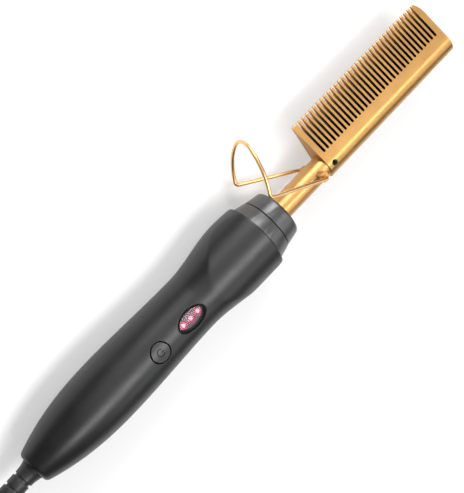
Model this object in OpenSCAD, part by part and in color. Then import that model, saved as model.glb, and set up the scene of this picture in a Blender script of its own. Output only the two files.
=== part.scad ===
// Electric hot comb: moulded handle, gold neck and comb block, folding wire stand, mains cord.
// The object lies along X on a flat surface, button upwards, teeth towards +Y.

/* [Handle] */
// Length from the tail to the shoulder under the nose
handle_l = 145.8; // [130:0.1:170]
// Radius at the tail
tail_r = 8.15; // [8:0.05:9.5]
// Rounding of the tail edge
tail_round = 1.8; // [1:0.1:2.2]
// Radius of the rear swell
rear_swell_r = 15.75; // [14.9:0.05:17.5]
// Place of the rear swell
rear_swell_x = 51; // [45:1:56]
// Radius of the waist
waist_r = 14.45; // [13.8:0.05:15.2]
// Distance from the shoulder back to the waist
waist_setback = 43.8; // [39.8:0.5:47.8]
// Radius of the front swell
front_swell_r = 18.05; // [17.2:0.05:20]
// Distance from the front swell to the shoulder
swell_setback = 11.8; // [10:0.1:14]
// Radius of the shoulder edge
shoulder_r = 17.4; // [16.8:0.05:18]
// Wall of the two shells
wall = 2.2; // [1.8:0.1:2.6]
// Thickness of the closed tail
tail_wall = 4.7; // [3:0.1:7]
// Radius of the flattened thumb rest across the handle
thumb_r = 18.8; // [18.6:0.1:22]
// Distance from the shoulder back to the tip of the thumb rest
thumb_l = 35.8; // [30:0.1:40]
// Depth of the thumb rest at the shoulder
thumb_depth = 1.4; // [0.8:0.1:1.6]

/* [Nose] */
// Length of the collar cone
collar_l = 6.8; // [5.5:0.1:9]
// Radius of the collar at the shoulder
collar_base_r = 15.95; // [15.6:0.05:16.5]
// Radius of the collar at its front
collar_tip_r = 14.25; // [13:0.05:15]
// Groove between collar and cap
nose_groove = 0.4; // [0.3:0.1:0.8]
// Length of the cap
cap_l = 8.6; // [7:0.1:11]
// Radius of the cap at its rear
cap_base_r = 14.05; // [12.8:0.05:14.8]
// Radius of the cap at its front
cap_tip_r = 12.75; // [11.8:0.05:13.5]
// Rounding of the cap's front edge
cap_round = 1.6; // [0.8:0.1:2]
// Thickness of the cap's front
cap_front = 3.4; // [2.4:0.1:4]
// Radius of the ceramic bush
bush_r = 8.5; // [7.8:0.1:9]

/* [Neck] */
// Outer radius of the neck tube
tube_r = 5.8; // [5.5:0.05:6.1]
// Wall of the neck tube
tube_wall = 1; // [0.8:0.1:1.2]
// Length of the neck between cap and comb
neck_free_l = 31.6; // [27:0.1:40]
// Length of the neck inside the handle, behind the shoulder
neck_inside_l = 13.8; // [12:0.1:18]
// Radius of the spigot that enters the comb
spigot_r = 4.8; // [4.5:0.05:5]
// Length of that spigot
spigot_l = 11.5; // [8:0.1:14]
// Radius of the flange that anchors the neck
flange_r = 11.5; // [9.5:0.1:13]
// Thickness of that flange
flange_t = 6; // [5:0.1:7]
// Radius of the flange pins
flange_pin_r = 1.25; // [1:0.05:1.5]
// Distance from the comb back to the stand pivot
pivot_setback = 5.8; // [5:0.1:8]
// Radius of the ears that carry the stand
ear_r = 2.6; // [2.2:0.1:3]
// Reach of each ear from the axis
ear_reach = 8.6; // [7.8:0.1:9.6]
// Radius of the opening that each ear was pressed out of
ear_window_r = 1.5; // [1:0.1:1.8]
// Turn of the pivot axis about the neck
ear_roll = 10.2; // [0:0.1:20]

/* [Comb block] */
// Length of the comb block
head_l = 90; // [75:0.1:110]
// Radius of the spine
spine_r = 6.8; // [6.5:0.05:7.6]
// Distance from the axis to the tooth tips
tooth_reach = 24.4; // [21:0.1:28]
// Radius along the tooth tips
tooth_tip_r = 0.6; // [0.5:0.05:0.9]
// Distance from one slot to the next
slot_pitch = 2.57; // [2.3:0.01:3]
// Width of a slot
slot_w = 1.35; // [1:0.05:1.5]
// Distance from the comb's near end to its first slot
slot_first = 3.6; // [3:0.1:5]
// Distance from the axis to the slot floors
slot_floor = 6; // [5.7:0.1:8]
// Length of the curve that narrows the last tooth to its tip
end_curve_l = 6.8; // [4:0.1:12]
// Distance that this curve takes off the last tooth's tip
end_cut = 2.2; // [1:0.1:2.4]
// Radius of the far corner at the spine
spine_corner_r = 1.5; // [0.8:0.1:3]
// Distance from the near end to the set screw
set_screw_x = 3.6; // [2.8:0.1:5]
// Radius of the set screw
set_screw_r = 1.5; // [1.2:0.05:1.8]
// Turn of the set screw towards the spine
set_screw_roll = 7; // [0:1:15]

/* [Heater] */
// Radius of the ceramic heater
heater_r = 3.2; // [2.8:0.05:3.25]
// Length of the ceramic heater
heater_l = 92; // [75:0.5:93]
// Length of the heater that stays in the neck
heater_rear_l = 13.2; // [11:0.1:15]
// Length of the ceramic lead guide
guide_l = 29.5; // [20:0.1:34]
// Radius of the heater's lead wires
heater_lead_r = 0.6; // [0.4:0.05:0.7]
// Radius of the sensor's lead wires
sensor_lead_r = 0.4; // [0.3:0.05:0.5]
// Radius of the thermal fuse
fuse_r = 1.6; // [1.3:0.1:1.8]
// Length of the thermal fuse
fuse_l = 9; // [7:0.1:11]

/* [Stand] */
// Radius of the stand wire
wire_r = 0.95; // [0.8:0.05:1.1]
// Distance from the pivot to the bend
leg_l = 34.5; // [30:0.1:36]
// Half the width of the stand at the pivot
pivot_spread = 11.8; // [11:0.1:13]
// Half the width of the stand at its bends
bend_spread = 15.4; // [15:0.1:17]
// Height of the arch over the bends
arch_h = 24.5; // [22:0.1:28]
// Radius of the top of the arch
arch_top_r = 9.5; // [8:0.1:11]
// Bend radius of the wire at its corners
wire_bend_r = 2; // [1.6:0.1:2.4]
// Angle of the legs to the neck, as photographed
stand_open = 30.7; // [25:0.1:36]
// Angle from the legs to the arch
arch_angle = 83.6; // [78:0.1:90]

/* [Button and lamps] */
// Distance from the shoulder back to the button
button_setback = 71.8; // [69.8:0.5:75.8]
// Radius of the button
button_r = 4.85; // [4.2:0.05:5.3]
// Gap round the button
button_gap = 0.2; // [0.15:0.05:0.3]
// Travel of the button
button_travel = 0.5; // [0.3:0.1:0.8]
// Distance from the shoulder back to the lamp window
window_setback = 51.1; // [49.1:0.1:52.6]
// Half the length of the window
window_a = 8.2; // [7.8:0.1:9]
// Half the width of the window
window_b = 4.9; // [4.6:0.1:5.5]
// Width of the rim round the lens
bezel_t = 0.8; // [0.6:0.1:1]
// Depth of the lens under the handle's crown
lens_depth = 0.95; // [0.6:0.05:1.3]
// Thickness of the lens
lens_t = 1.2; // [0.8:0.1:1.5]
// Distance between lamps
lamp_pitch = 4.65; // [4.3:0.05:4.8]
// Radius of a lamp
lamp_r = 1.5; // [1.2:0.05:1.55]

/* [Circuit board] */
// Distance from the shoulder back to the board's rear edge
board_setback = 100.8; // [99.8:0.5:103.8]
// Length of the board
board_l = 70; // [64:0.5:72]
// Width of the board
board_w = 20; // [18:0.5:21]
// Thickness of the board
board_t = 1.6; // [1.2:0.1:1.8]
// Height of the board's top face over the seam
board_top = 2.6; // [2.2:0.1:2.9]
// Distance of the board screws from its ends
board_screw_inset = 5; // [4:0.5:6]
// Half the spacing of the board screws
board_screw_y = 7; // [6:0.5:7.5]
// Radius of the board screws
board_screw_r = 0.95; // [0.8:0.05:1.1]

/* [Shell screws] */
// Place of the rear shell screw
rear_screw_x = 26; // [25:0.5:27]
// Distance from the shoulder back to the two front shell screws
front_screw_setback = 19.8; // [19:0.1:22]
// Half the spacing of the front shell screws
front_screw_y = 9.5; // [8.5:0.1:10]
// Radius of the shell screws
shell_screw_r = 1.45; // [1.2:0.05:1.6]
// Radius of their heads
shell_screw_head_r = 2.7; // [2.4:0.1:2.9]
// Depth of their seats under the seam
shell_screw_seat = 6; // [4:0.5:7]
// Length of thread in the front shell
shell_screw_bite = 7.5; // [5:0.5:8]

/* [Cord] */
// Radius of the mains cord
cord_r = 3; // [2.5:0.1:3]
// Length of the relief outside the handle
relief_l = 42; // [30:0.5:48]
// Radius of the relief at the handle
relief_base_r = 5.7; // [5:0.05:6.2]
// Radius of the relief behind its flare
relief_mid_r = 4.7; // [4.5:0.05:5.2]
// Radius of the relief at its end
relief_tip_r = 4; // [3.6:0.05:4.3]
// Distance from one relief groove to the next
relief_pitch = 5.65; // [5:0.05:6.5]
// Width of a relief groove
relief_groove_w = 1.2; // [0.8:0.1:1.6]
// Depth of a relief groove
relief_groove_d = 0.8; // [0.5:0.1:0.9]
// Distance from the relief's end back to the coil
lead_l = 80; // [75:1:100]
// Distance that the cord swings aside on the way
lead_shift = 25.5; // [20:0.5:28]
// Outermost radius of the cord's coil
coil_r = 37; // [36:0.5:42]
// Distance between neighbouring turns
coil_pitch = 6.5; // [6.5:0.1:6.6]
// Height from one layer of the coil to the next
coil_layer = 6.5; // [6.5:0.1:7]
// Distance from the coil to the plug
tail_l = 52; // [50:1:54]
// Distance that the cord swings back on the way
tail_shift = 9; // [7:0.5:11]

/* [Plug] */
// Length of the plug body
plug_l = 20; // [16:1:26]
// Width of the plug body
plug_w = 24; // [22:1:30]
// Thickness of the plug body
plug_t = 17; // [16:0.5:18]
// Length of the plug's sleeve
plug_sleeve_l = 12; // [8:1:16]
// Distance between the blades
blade_spacing = 12.7; // [12:0.1:13]
// Length of a blade
blade_l = 17; // [15:0.5:18]
// Width of a blade
blade_w = 6.35; // [6:0.05:6.6]
// Thickness of a blade
blade_t = 1.5; // [1.4:0.05:1.6]

/* [Fits] */
// Radial gap of a part that turns or is slipped in
fit = 0.05; // [0.03:0.01:0.1]
// Gap between parts that only lie beside each other
ease = 0.3; // [0.2:0.05:0.4]

/* [Hidden] */
$fn = 48;
far = 60;                        // reach of cutting blocks, past every outline

// ---- places along the axis, from the tail ----
front_swell_x = handle_l - swell_setback;
waist_x = handle_l - waist_setback;
button_x = handle_l - button_setback;
window_x = handle_l - window_setback;
board_x = handle_l - board_setback;
thumb_x = handle_l - thumb_l;
front_screw_x = handle_l - front_screw_setback;
collar_x = handle_l;
cap_x = collar_x + collar_l + nose_groove;
cap_end_x = cap_x + cap_l;
head_x = cap_end_x + neck_free_l;
head_end_x = head_x + head_l;
pivot_x = head_x - pivot_setback;
tube_x = handle_l - neck_inside_l;
tube_bore_r = tube_r - tube_wall;
spigot_bore_r = heater_r + ease;
heater_x = head_x - heater_rear_l;
heater_end_x = heater_x + heater_l;
sensor_l = 1.5;                  // length of the sensor bead between guide and heater
sensor_gap = 0.6;                // gap from the bead to the guide
guide_end_x = heater_x - 2 * ease - sensor_l - 0.4;
guide_x = guide_end_x - guide_l;

// ---- handle outline ----
tail_power = 2.4;
function ramp(f) = 3 * f * f - 2 * f * f * f;
function tail_curve(x) = rear_swell_r
    - (rear_swell_r - tail_r) * pow((rear_swell_x - x) / rear_swell_x, tail_power);
function tail_edge(x) = x >= tail_round ? 0
    : tail_round - sqrt(pow(tail_round, 2) - pow(tail_round - x, 2));
function waist_curve(x) = rear_swell_r
    + (waist_r - rear_swell_r) * ramp((x - rear_swell_x) / (waist_x - rear_swell_x));
function swell_curve(x) = waist_r
    + (front_swell_r - waist_r) * ramp((x - waist_x) / (front_swell_x - waist_x));
function shoulder_curve(x) = front_swell_r
    - (front_swell_r - shoulder_r) * pow((x - front_swell_x) / swell_setback, 2);
function handle_r(x) = x < rear_swell_x ? tail_curve(x) - tail_edge(x)
    : x < waist_x ? waist_curve(x)
    : x < front_swell_x ? swell_curve(x) : shoulder_curve(x);

// Stations along the outline: close together round the tail edge, even after it.
outline_steps = 40;
function stations(x0, x1, steps) = concat(
    x0 > 0 ? [] : [for (i = [0:3]) tail_round * i / 4],
    [for (i = [0:steps]) max(x0, tail_round) + (x1 - max(x0, tail_round)) * i / steps]);

// ---- stand geometry ----
pivot = [pivot_x, 0, 0];
pin_dir = [0, -sin(ear_roll), cos(ear_roll)];
up_dir = [0, cos(ear_roll), sin(ear_roll)];
leg_dir = [-cos(stand_open), 0, 0] + sin(stand_open) * up_dir;
leg_normal = [sin(stand_open), 0, 0] + cos(stand_open) * up_dir;
arch_dir = cos(arch_angle) * leg_dir + sin(arch_angle) * leg_normal;
wire_in_r = tube_bore_r + 0.2;   // where the wire's ends stop, just outside the tube's bore
arch_foot = wire_bend_r * tan(arch_angle / 2) + ease;
// The flank radius makes flank and top arcs meet smoothly at the given height and spread.
arch_rise = arch_h - arch_foot - arch_top_r;
arch_inset = bend_spread - arch_top_r;
flank_over_top = (pow(arch_rise, 2) + pow(arch_inset, 2)) / (2 * arch_inset);
flank_r = arch_top_r + flank_over_top;
flank_angle = asin(arch_rise / flank_over_top);
flank_l = flank_r * tan(flank_angle / 2);
apex_l = arch_top_r * tan(90 - flank_angle);
function stand_point(along, rise, side) = pivot + along * leg_dir + rise * arch_dir + side * pin_dir;
flank_rise = arch_foot + flank_l;
apex_rise = flank_rise + (flank_l + apex_l) * cos(flank_angle);
half_wire = [
    stand_point(0, 0, ear_reach + ease), stand_point(0, 0, pivot_spread),
    stand_point(leg_l, 0, bend_spread), stand_point(leg_l, flank_rise, bend_spread)
];
other_half = [
    stand_point(leg_l, flank_rise, -bend_spread), stand_point(leg_l, 0, -bend_spread),
    stand_point(0, 0, -pivot_spread), stand_point(0, 0, -ear_reach - ease)
];
wire_points = concat(half_wire, [stand_point(leg_l, apex_rise, 0)], other_half);
wire_radii = [
    0, wire_bend_r, wire_bend_r, flank_r, arch_top_r, flank_r, wire_bend_r, wire_bend_r, 0
];
// Highest reach of the arch along Y
top_centre = stand_point(leg_l, arch_h - arch_top_r, 0);
arch_reach = top_centre[1] + arch_top_r * norm([arch_dir[1], pin_dir[1]]) + wire_r;

// ---- the part's own frame: on the surface, centred between its ends ----
frame_shift = [
    (relief_l - head_end_x) / 2, (front_swell_r - max(arch_reach, tooth_reach)) / 2, front_swell_r
];

// ---- details inside the handle ----
shell_rib_t = 2.5;
flange_x = tube_x + 1.2;
rear_rib_x = flange_x - fit - shell_rib_t;
front_rib_x = flange_x + flange_t + fit;
front_rib_t = 1.8;
collar_spigot_x = front_rib_x + front_rib_t + ease;
collar_wall = 2;
collar_bore_r = bush_r + 1.5;
bush_seat_x = collar_x + collar_wall;
cap_spigot_r = collar_bore_r - fit;
button_collar_t = 1.55;
button_flange_t = 1;
button_flange_r = button_r + 1.15;
button_collar_z = 9.6;
button_flange_top = button_collar_z - ease;
switch_h = 3.5;
switch_w = 6;
stem_r = 1.7;
stem_bottom = board_top + 3;
lens_top = waist_r - lens_depth;
lens_bottom = lens_top - lens_t;
bezel_flange = 1.1;
bezel_bottom = lens_bottom - 2.4;
ledge = 0.8;
lens_fit = 0.05;
lamp_top = lens_bottom - ease;
lamp_bottom = 7;
holder_top = bezel_bottom - ease;
holder_w = 8;
holder_l = 2 * lamp_pitch + 2 * lamp_r + 3.5;
post_r = 2.2;
post_bite = 4.5;
shell_boss_r = 3.4;
shell_seat_r = shell_screw_head_r + ease;
shell_boss_rear_r = shell_seat_r + 0.9;
shell_screw_head_t = 1.8;
relief_neck_r = relief_base_r - 0.1;
relief_flange_r = 7.2;
relief_flange_t = 2.5;
relief_flange_x = tail_wall + ease;
relief_collar_l = 6;

// ---- cord route: place along the axis, sideways, height over the surface ----
floor_z = -front_swell_r;
route_steps = 14;
function part_of(f, f0, f1) = ramp(max(0, min(1, (f - f0) / (f1 - f0))));
// The lead sinks to the surface first and swings aside last; its end steps are straight.
step = 1 / route_steps;
lead_route = [for (i = [0:route_steps]) let (f = i * step) [
    -relief_l - lead_l * f, -lead_shift * part_of(f, 0.15, 1 - step),
    front_swell_r + (cord_r - front_swell_r) * part_of(f, step, 0.85)]];
// The coil winds in and out by turns, one layer over another, and climbs where it turns back.
coil_layers = 4;
layer_turns = 2.125;
climb_turns = 0.5;
rings_per_turn = 24;
coil_start = 6;                  // straight run at each end of the coil
lead_end = lead_route[route_steps];
coil_centre = lead_end + [-coil_start, coil_r, 0];
function sum(v) = v * [for (x = v) 1];
function turns_in(t) = let (phase = t % (2 * layer_turns)) min(phase, 2 * layer_turns - phase);
function coil_radius(t) = coil_r - coil_pitch * turns_in(t);
function coil_height(t) = coil_layer * sum([for (k = [1:coil_layers - 1])
    part_of(t - k * layer_turns, -climb_turns / 2, climb_turns / 2)]);
function coil_point(t) = coil_centre
    + [coil_radius(t) * cos(-90 - 360 * t), coil_radius(t) * sin(-90 - 360 * t), coil_height(t)];
coil_rings = coil_layers * layer_turns * rings_per_turn;
coil_end = coil_point(coil_rings / rings_per_turn);
tail_start = coil_end + [coil_start, 0, 0];
coil_route = concat(
    [lead_end], [for (i = [0:coil_rings]) coil_point(i / rings_per_turn)], [tail_start]);
// The tail leaves the coil's top, sinks, and swings back to the plug.
plug_x = tail_start[0] + tail_l;
plug_y = tail_start[1] - tail_shift;
plug_z = plug_t / 2;
tail_route = [for (i = [0:route_steps]) let (f = i * step) [
    tail_start[0] + tail_l * f, tail_start[1] - tail_shift * part_of(f, 0.25, 1 - step),
    tail_start[2] + (plug_z - tail_start[2]) * part_of(f, 0.12, 1 - step)]];
// Least distance from one turn to any other, less the cord's thickness
half_turn = rings_per_turn / 2;
coil_gap = min([for (i = [1:coil_rings]) for (j = [i + half_turn:coil_rings + 1])
    norm(coil_route[j] - coil_route[i])]) - 2 * cord_r;

// ---- helpers ----
module in_frame() translate(frame_shift) children();
module on_floor() translate([0, 0, floor_z]) children();
// Solid of revolution about X from [radius, x] points
module lathe(points) rotate([0, 90, 0]) rotate_extrude() polygon(points);
module rod_x(r, x0, x1) translate([x0, 0, 0]) rotate([0, 90, 0]) cylinder(r = r, h = x1 - x0);
module rod_z(r, x, y, z0, z1) translate([x, y, z0]) cylinder(r = r, h = z1 - z0);
module block(x0, x1, y0, y1, z0, z1) translate([x0, y0, z0]) cube([x1 - x0, y1 - y0, z1 - z0]);
module oval(x, a, b, z0, z1, steps = 48) translate([x, 0, z0]) linear_extrude(z1 - z0)
    polygon([for (i = [0:steps - 1]) [a * cos(360 * i / steps), b * sin(360 * i / steps)]]);

function unit(v) = v / norm(v);
function axes(o, x, y, z) = [
    [x[0], y[0], z[0], o[0]], [x[1], y[1], z[1], o[1]], [x[2], y[2], z[2], o[2]], [0, 0, 0, 1]
];
// Straight round bar between two points
module bar(p, q, r) {
    z = unit(q - p);
    x = unit(cross(z, abs(z[2]) < 0.9 ? [0, 0, 1] : [1, 0, 0]));
    multmatrix(axes(p, x, cross(z, x), z)) cylinder(r = r, h = norm(q - p));
}
// Route along corner points, each corner rounded to its own radius
function turn_at(p, i) = i <= 0 || i >= len(p) - 1 ? 0
    : acos(unit(p[i] - p[i - 1]) * unit(p[i + 1] - p[i]));
function setback_at(p, bends, i) = bends[i] * tan(turn_at(p, i) / 2);
function straight_before(p, bends, i) =
    norm(p[i] - p[i - 1]) - setback_at(p, bends, i - 1) - setback_at(p, bends, i);
function rounded_corner(p, bends, i, step) = let (
    d1 = unit(p[i] - p[i - 1]), d2 = unit(p[i + 1] - p[i]), turn = turn_at(p, i),
    inward = unit(d2 - (d2 * d1) * d1), parts = ceil(turn / step),
    centre = p[i] - setback_at(p, bends, i) * d1 + bends[i] * inward,
    first = straight_before(p, bends, i) > 0.01 ? 0 : 1
) [for (k = [first:parts]) let (a = turn * k / parts)
    centre + bends[i] * (sin(a) * d1 - cos(a) * inward)];
function rounded_route(p, bends, step) = [for (i = [0:len(p) - 1])
    each turn_at(p, i) == 0 ? [p[i]] : rounded_corner(p, bends, i, step)];
// Round cord or wire swept along its route, one ring of points at each route point; ref is a
// direction that the route never takes, from which the rings are turned
function heading(p, i) = i == 0 ? unit(p[1] - p[0])
    : i == len(p) - 1 ? unit(p[i] - p[i - 1]) : unit(unit(p[i + 1] - p[i]) + unit(p[i] - p[i - 1]));
function ring(c, t, r, sides, ref) = let (s = unit(cross(ref, t)), u = cross(t, s))
    [for (i = [0:sides - 1]) let (a = 90 + 360 * i / sides) c + r * (cos(a) * s + sin(a) * u)];
module cord(route, r, sides, ref = [0, 0, 1]) {
    last = len(route) - 1;
    points = [for (i = [0:last]) each ring(route[i], heading(route, i), r, sides, ref)];
    skin = [for (k = [0:last - 1]) for (i = [0:sides - 1])
        let (a = k * sides + i, b = k * sides + (i + 1) % sides)
        each [[a, a + sides, b + sides], [a, b + sides, b]]];
    caps = [for (i = [1:sides - 2])
        each [[0, i, i + 1], [last * sides, last * sides + i + 1, last * sides + i]]];
    polyhedron(points, concat(skin, caps));
}

// ---- handle ----
module thumb_cut(inset) {
    rise = shoulder_r - thumb_depth - handle_r(thumb_x);
    translate([thumb_x, 0, handle_r(thumb_x)]) rotate([0, -atan2(rise, thumb_l), 0])
        difference() {
            block(-10, thumb_l + 10, -far / 2, far / 2, -far / 4, far / 4);
            translate([0, 0, -thumb_r]) rod_x(thumb_r - inset, -20, thumb_l + 20, $fn = 96);
        }
}
// The handle's outer form, drawn in by inset, between two places
module handle_form(inset, x0 = 0, x1 = handle_l) {
    outline = [for (x = stations(x0, x1, outline_steps)) [handle_r(min(x, handle_l)) - inset, x]];
    difference() {
        lathe(concat([[0, x0]], outline, [[0, x1]]));
        thumb_cut(inset);
    }
}
module shell_screw_places() {
    translate([rear_screw_x, 0, 0]) children();
    for (s = [-1, 1]) translate([front_screw_x, s * front_screw_y, 0]) children();
}
module board_screw_places() {
    for (x = [board_x + board_screw_inset, board_x + board_l - board_screw_inset])
        for (s = [-1, 1]) translate([x, s * board_screw_y, 0]) children();
}
// Hollow handle with the ribs that hold the neck flange, open at the shoulder
module handle_hull() {
    difference() {
        handle_form(0);
        handle_form(wall, tail_wall, handle_l + 1);
        rod_x(relief_neck_r + fit, -1, tail_wall + 1);
    }
    difference() {
        intersection() {
            handle_form(wall / 2);
            union() {
                block(rear_rib_x, rear_rib_x + shell_rib_t, -far, far, -far, far);
                block(front_rib_x, front_rib_x + front_rib_t, -far, far, -far, far);
            }
        }
        rod_x(tube_r + ease, rear_rib_x - 1, front_rib_x + front_rib_t + 1);
    }
}
module handle_front_shell() color([0.13, 0.13, 0.14]) in_frame() difference() {
    union() {
        intersection() {
            handle_hull();
            block(-1, handle_l + 1, -far, far, 0, far);
        }
        intersection() {
            handle_form(wall / 2);
            union() {
                shell_screw_places() cylinder(r = shell_boss_r, h = far);
                board_screw_places() translate([0, 0, board_top]) cylinder(r = post_r, h = far);
                rod_z(button_r + button_gap + button_collar_t, button_x, 0, button_collar_z, far);
            }
        }
    }
    shell_screw_places() translate([0, 0, -1])
        cylinder(r = shell_screw_r + fit, h = shell_screw_bite + 1 + ease);
    board_screw_places() translate([0, 0, board_top - 1])
        cylinder(r = board_screw_r + fit, h = post_bite + 1 + ease);
    rod_z(button_r + button_gap, button_x, 0, button_collar_z - 1, far);
    oval(window_x, window_a, window_b, board_top + 1, far);
}
module handle_rear_shell() color([0.13, 0.13, 0.14]) in_frame() difference() {
    union() {
        intersection() {
            handle_hull();
            block(-1, handle_l + 1, -far, far, -far, 0);
        }
        intersection() {
            handle_form(wall / 2);
            shell_screw_places() translate([0, 0, -far]) cylinder(r = shell_boss_rear_r, h = far);
        }
    }
    shell_screw_places() translate([0, 0, -far - 1])
        cylinder(r = shell_screw_r + fit, h = far + 2);
    shell_screw_places() translate([0, 0, -far])
        cylinder(r = shell_seat_r, h = far - shell_screw_seat);
}

// ---- nose ----
module nose_collar() color([0.3, 0.3, 0.31]) in_frame() difference() {
    union() {
        lathe([
            [0, collar_x], [collar_base_r, collar_x], [collar_tip_r, collar_x + collar_l],
            [0, collar_x + collar_l]
        ]);
        intersection() {
            handle_form(wall + ease, collar_spigot_x, handle_l + 1);
            block(collar_spigot_x, collar_x + 0.5, -far, far, -far, far);
        }
    }
    rod_x(tube_r + ease, collar_spigot_x - 1, collar_x + collar_l);
    rod_x(collar_bore_r, bush_seat_x, collar_x + collar_l + 1);
}
function quarter(x, y, r, steps = 6) = [for (i = [0:steps])
    [y - r + r * cos(90 * i / steps), x - r + r * sin(90 * i / steps)]];
module nose_cap() color([0.3, 0.3, 0.31]) in_frame() difference() {
    union() {
        lathe(concat(
            [[0, cap_x], [cap_base_r, cap_x]], quarter(cap_end_x, cap_tip_r, cap_round),
            [[0, cap_end_x]]));
        rod_x(cap_spigot_r, bush_seat_x + 2 * ease, cap_x + 1);
    }
    rod_x(bush_r + fit, collar_x, cap_end_x - cap_front);
    rod_x(tube_r + ease - fit, collar_x, cap_end_x + 1);
}
module neck_bush() color([0.9, 0.88, 0.84]) in_frame() difference() {
    rod_x(bush_r, bush_seat_x + fit, cap_end_x - cap_front - fit);
    rod_x(tube_r + fit, bush_seat_x - 1, cap_end_x);
}

// ---- neck ----
module neck_tube() color([0.85, 0.66, 0.36]) in_frame() difference() {
    union() {
        rod_x(tube_r, tube_x, head_x);
        rod_x(spigot_r, head_x - 1, head_x + spigot_l);
        bar(pivot - ear_reach * pin_dir, pivot + ear_reach * pin_dir, ear_r);
    }
    rod_x(tube_bore_r, tube_x - 1, head_x - 2);
    rod_x(spigot_bore_r, head_x - 3, head_x + spigot_l + 1);
    bar(pivot - (ear_reach + 1) * pin_dir, pivot + (ear_reach + 1) * pin_dir, wire_r + fit);
    translate([-ear_r - ear_window_r, 0, 0])
        bar(pivot - tube_r * 2 * pin_dir, pivot + tube_r * 2 * pin_dir, ear_window_r);
    for (s = [-1, 1])
        rod_z(flange_pin_r + fit, flange_x + flange_t / 2, 0, s * tube_r - 2, s * tube_r + 2);
}
module neck_flange() color([0.72, 0.73, 0.75]) in_frame() difference() {
    rod_x(flange_r, flange_x, flange_x + flange_t);
    rod_x(tube_r + fit, flange_x - 1, flange_x + flange_t + 1);
    rod_z(flange_pin_r + fit, flange_x + flange_t / 2, 0, -far, far);
}
module neck_pins() color([0.75, 0.76, 0.78]) in_frame() {
    for (s = [-1, 1]) mirror([0, 0, s < 0 ? 1 : 0])
        rod_z(flange_pin_r, flange_x + flange_t / 2, 0, tube_bore_r + fit, flange_r - ease);
}

// ---- comb block ----
tooth_centre = tooth_reach - tooth_tip_r;
flat_lean = asin((spine_r - tooth_tip_r) / tooth_centre);
// Section across the block: round spine, and flats that run tangent to the tooth tips
function arc(c, r, a0, a1, steps) = [for (i = [0:steps])
    let (a = a0 + (a1 - a0) * i / steps) [c + r * cos(a), r * sin(a)]];
module comb_section() polygon(concat(
    arc(tooth_centre, tooth_tip_r, flat_lean - 90, 90 - flat_lean, 6),
    arc(0, spine_r, 90 - flat_lean, 270 + flat_lean, 36)));
// Side outline, from the near end to the far end, whose last tooth curves in to its tip
end_curve_r = (pow(end_curve_l, 2) + pow(end_cut, 2)) / (2 * end_cut);
module comb_outline() {
    difference() {
        translate([0, -spine_r - 1]) square([head_l, spine_r + tooth_reach + 2]);
        translate([head_l - end_curve_r, tooth_reach - end_curve_l])
            difference() {
                square(end_curve_r + 3);
                circle(r = end_curve_r, $fn = 144);
            }
        translate([head_l - spine_corner_r, -spine_r + spine_corner_r])
            difference() {
                translate([0, -spine_corner_r - 3]) square(spine_corner_r + 3);
                circle(r = spine_corner_r);
            }
    }
}
end_tooth_l = 3.5;               // least thickness of the last tooth at its root
slot_count = floor((head_l - slot_first - end_tooth_l) / slot_pitch) + 1;
module comb_slot(x) {
    block(x - slot_w / 2, x + slot_w / 2, slot_floor + slot_w / 2, far, -spine_r - 1, spine_r + 1);
    rod_z(slot_w / 2, x, slot_floor + slot_w / 2, -spine_r - 1, spine_r + 1);
}
module comb_head() color([0.86, 0.67, 0.37]) in_frame() difference() {
    intersection() {
        translate([head_x, 0, 0]) rotate([90, 0, 90]) linear_extrude(head_l) comb_section();
        translate([head_x, 0, -far / 2]) linear_extrude(far) comb_outline();
    }
    for (i = [0:slot_count - 1]) comb_slot(head_x + slot_first + i * slot_pitch);
    rod_x(spigot_r + fit, head_x - 1, head_x + spigot_l + ease);
    rod_x(heater_r + 0.2, head_x, heater_end_x + 2);
    translate([head_x + set_screw_x, 0, 0]) rotate([set_screw_roll, 0, 0])
        cylinder(r = set_screw_r + fit, h = far);
}
module head_set_screw() color([0.2, 0.19, 0.18]) in_frame()
    translate([head_x + set_screw_x, 0, 0]) rotate([set_screw_roll, 0, 0]) difference() {
        translate([0, 0, spigot_r + fit]) cylinder(r = set_screw_r, h = spine_r - spigot_r - 0.6);
        translate([0, 0, spine_r - 1.5]) cylinder(r = 0.75, h = 3, $fn = 6);
    }

// ---- stand ----
module stand_wire() color([0.87, 0.68, 0.36]) in_frame() {
    // the many-sided wire has the round wire's section area
    sides = 12;
    swept_r = wire_r * sqrt(2 * PI / (sides * sin(360 / sides)));
    cord(rounded_route(wire_points, wire_radii, 8), swept_r, sides, leg_dir - arch_dir);
    for (s = [-1, 1])
        bar(stand_point(0, 0, s * wire_in_r), stand_point(0, 0, s * (ear_reach + 1)), wire_r);
}

// ---- heater ----
lead_place = 2.6;                // distance of the wires from the axis, and of the guide's holes
sensor_y = 1.2;
sensor_z = -2.3;
module heater_rod() color([0.92, 0.9, 0.86]) in_frame() rod_x(heater_r, heater_x, heater_end_x);
module heater_insulator() color([0.93, 0.91, 0.87]) in_frame() difference() {
    rod_x(tube_bore_r - 0.15, guide_x, guide_end_x);
    for (s = [-1, 1]) {
        translate([0, s * lead_place, 0])
            rod_x(heater_lead_r + fit, guide_x - 1, guide_end_x + 1);
        translate([0, s * sensor_y, sensor_z])
            rod_x(sensor_lead_r + fit, guide_x - 1, guide_end_x + 1);
    }
}
lead_inset = 2.5;                // distance of the heater's wire ends from the board's edge
fuse_setback = 7;                // distance of the fuse from the board's edge
lead_end_x = board_x + board_l - lead_inset;
fuse_x = board_x + board_l + fuse_setback;
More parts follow.
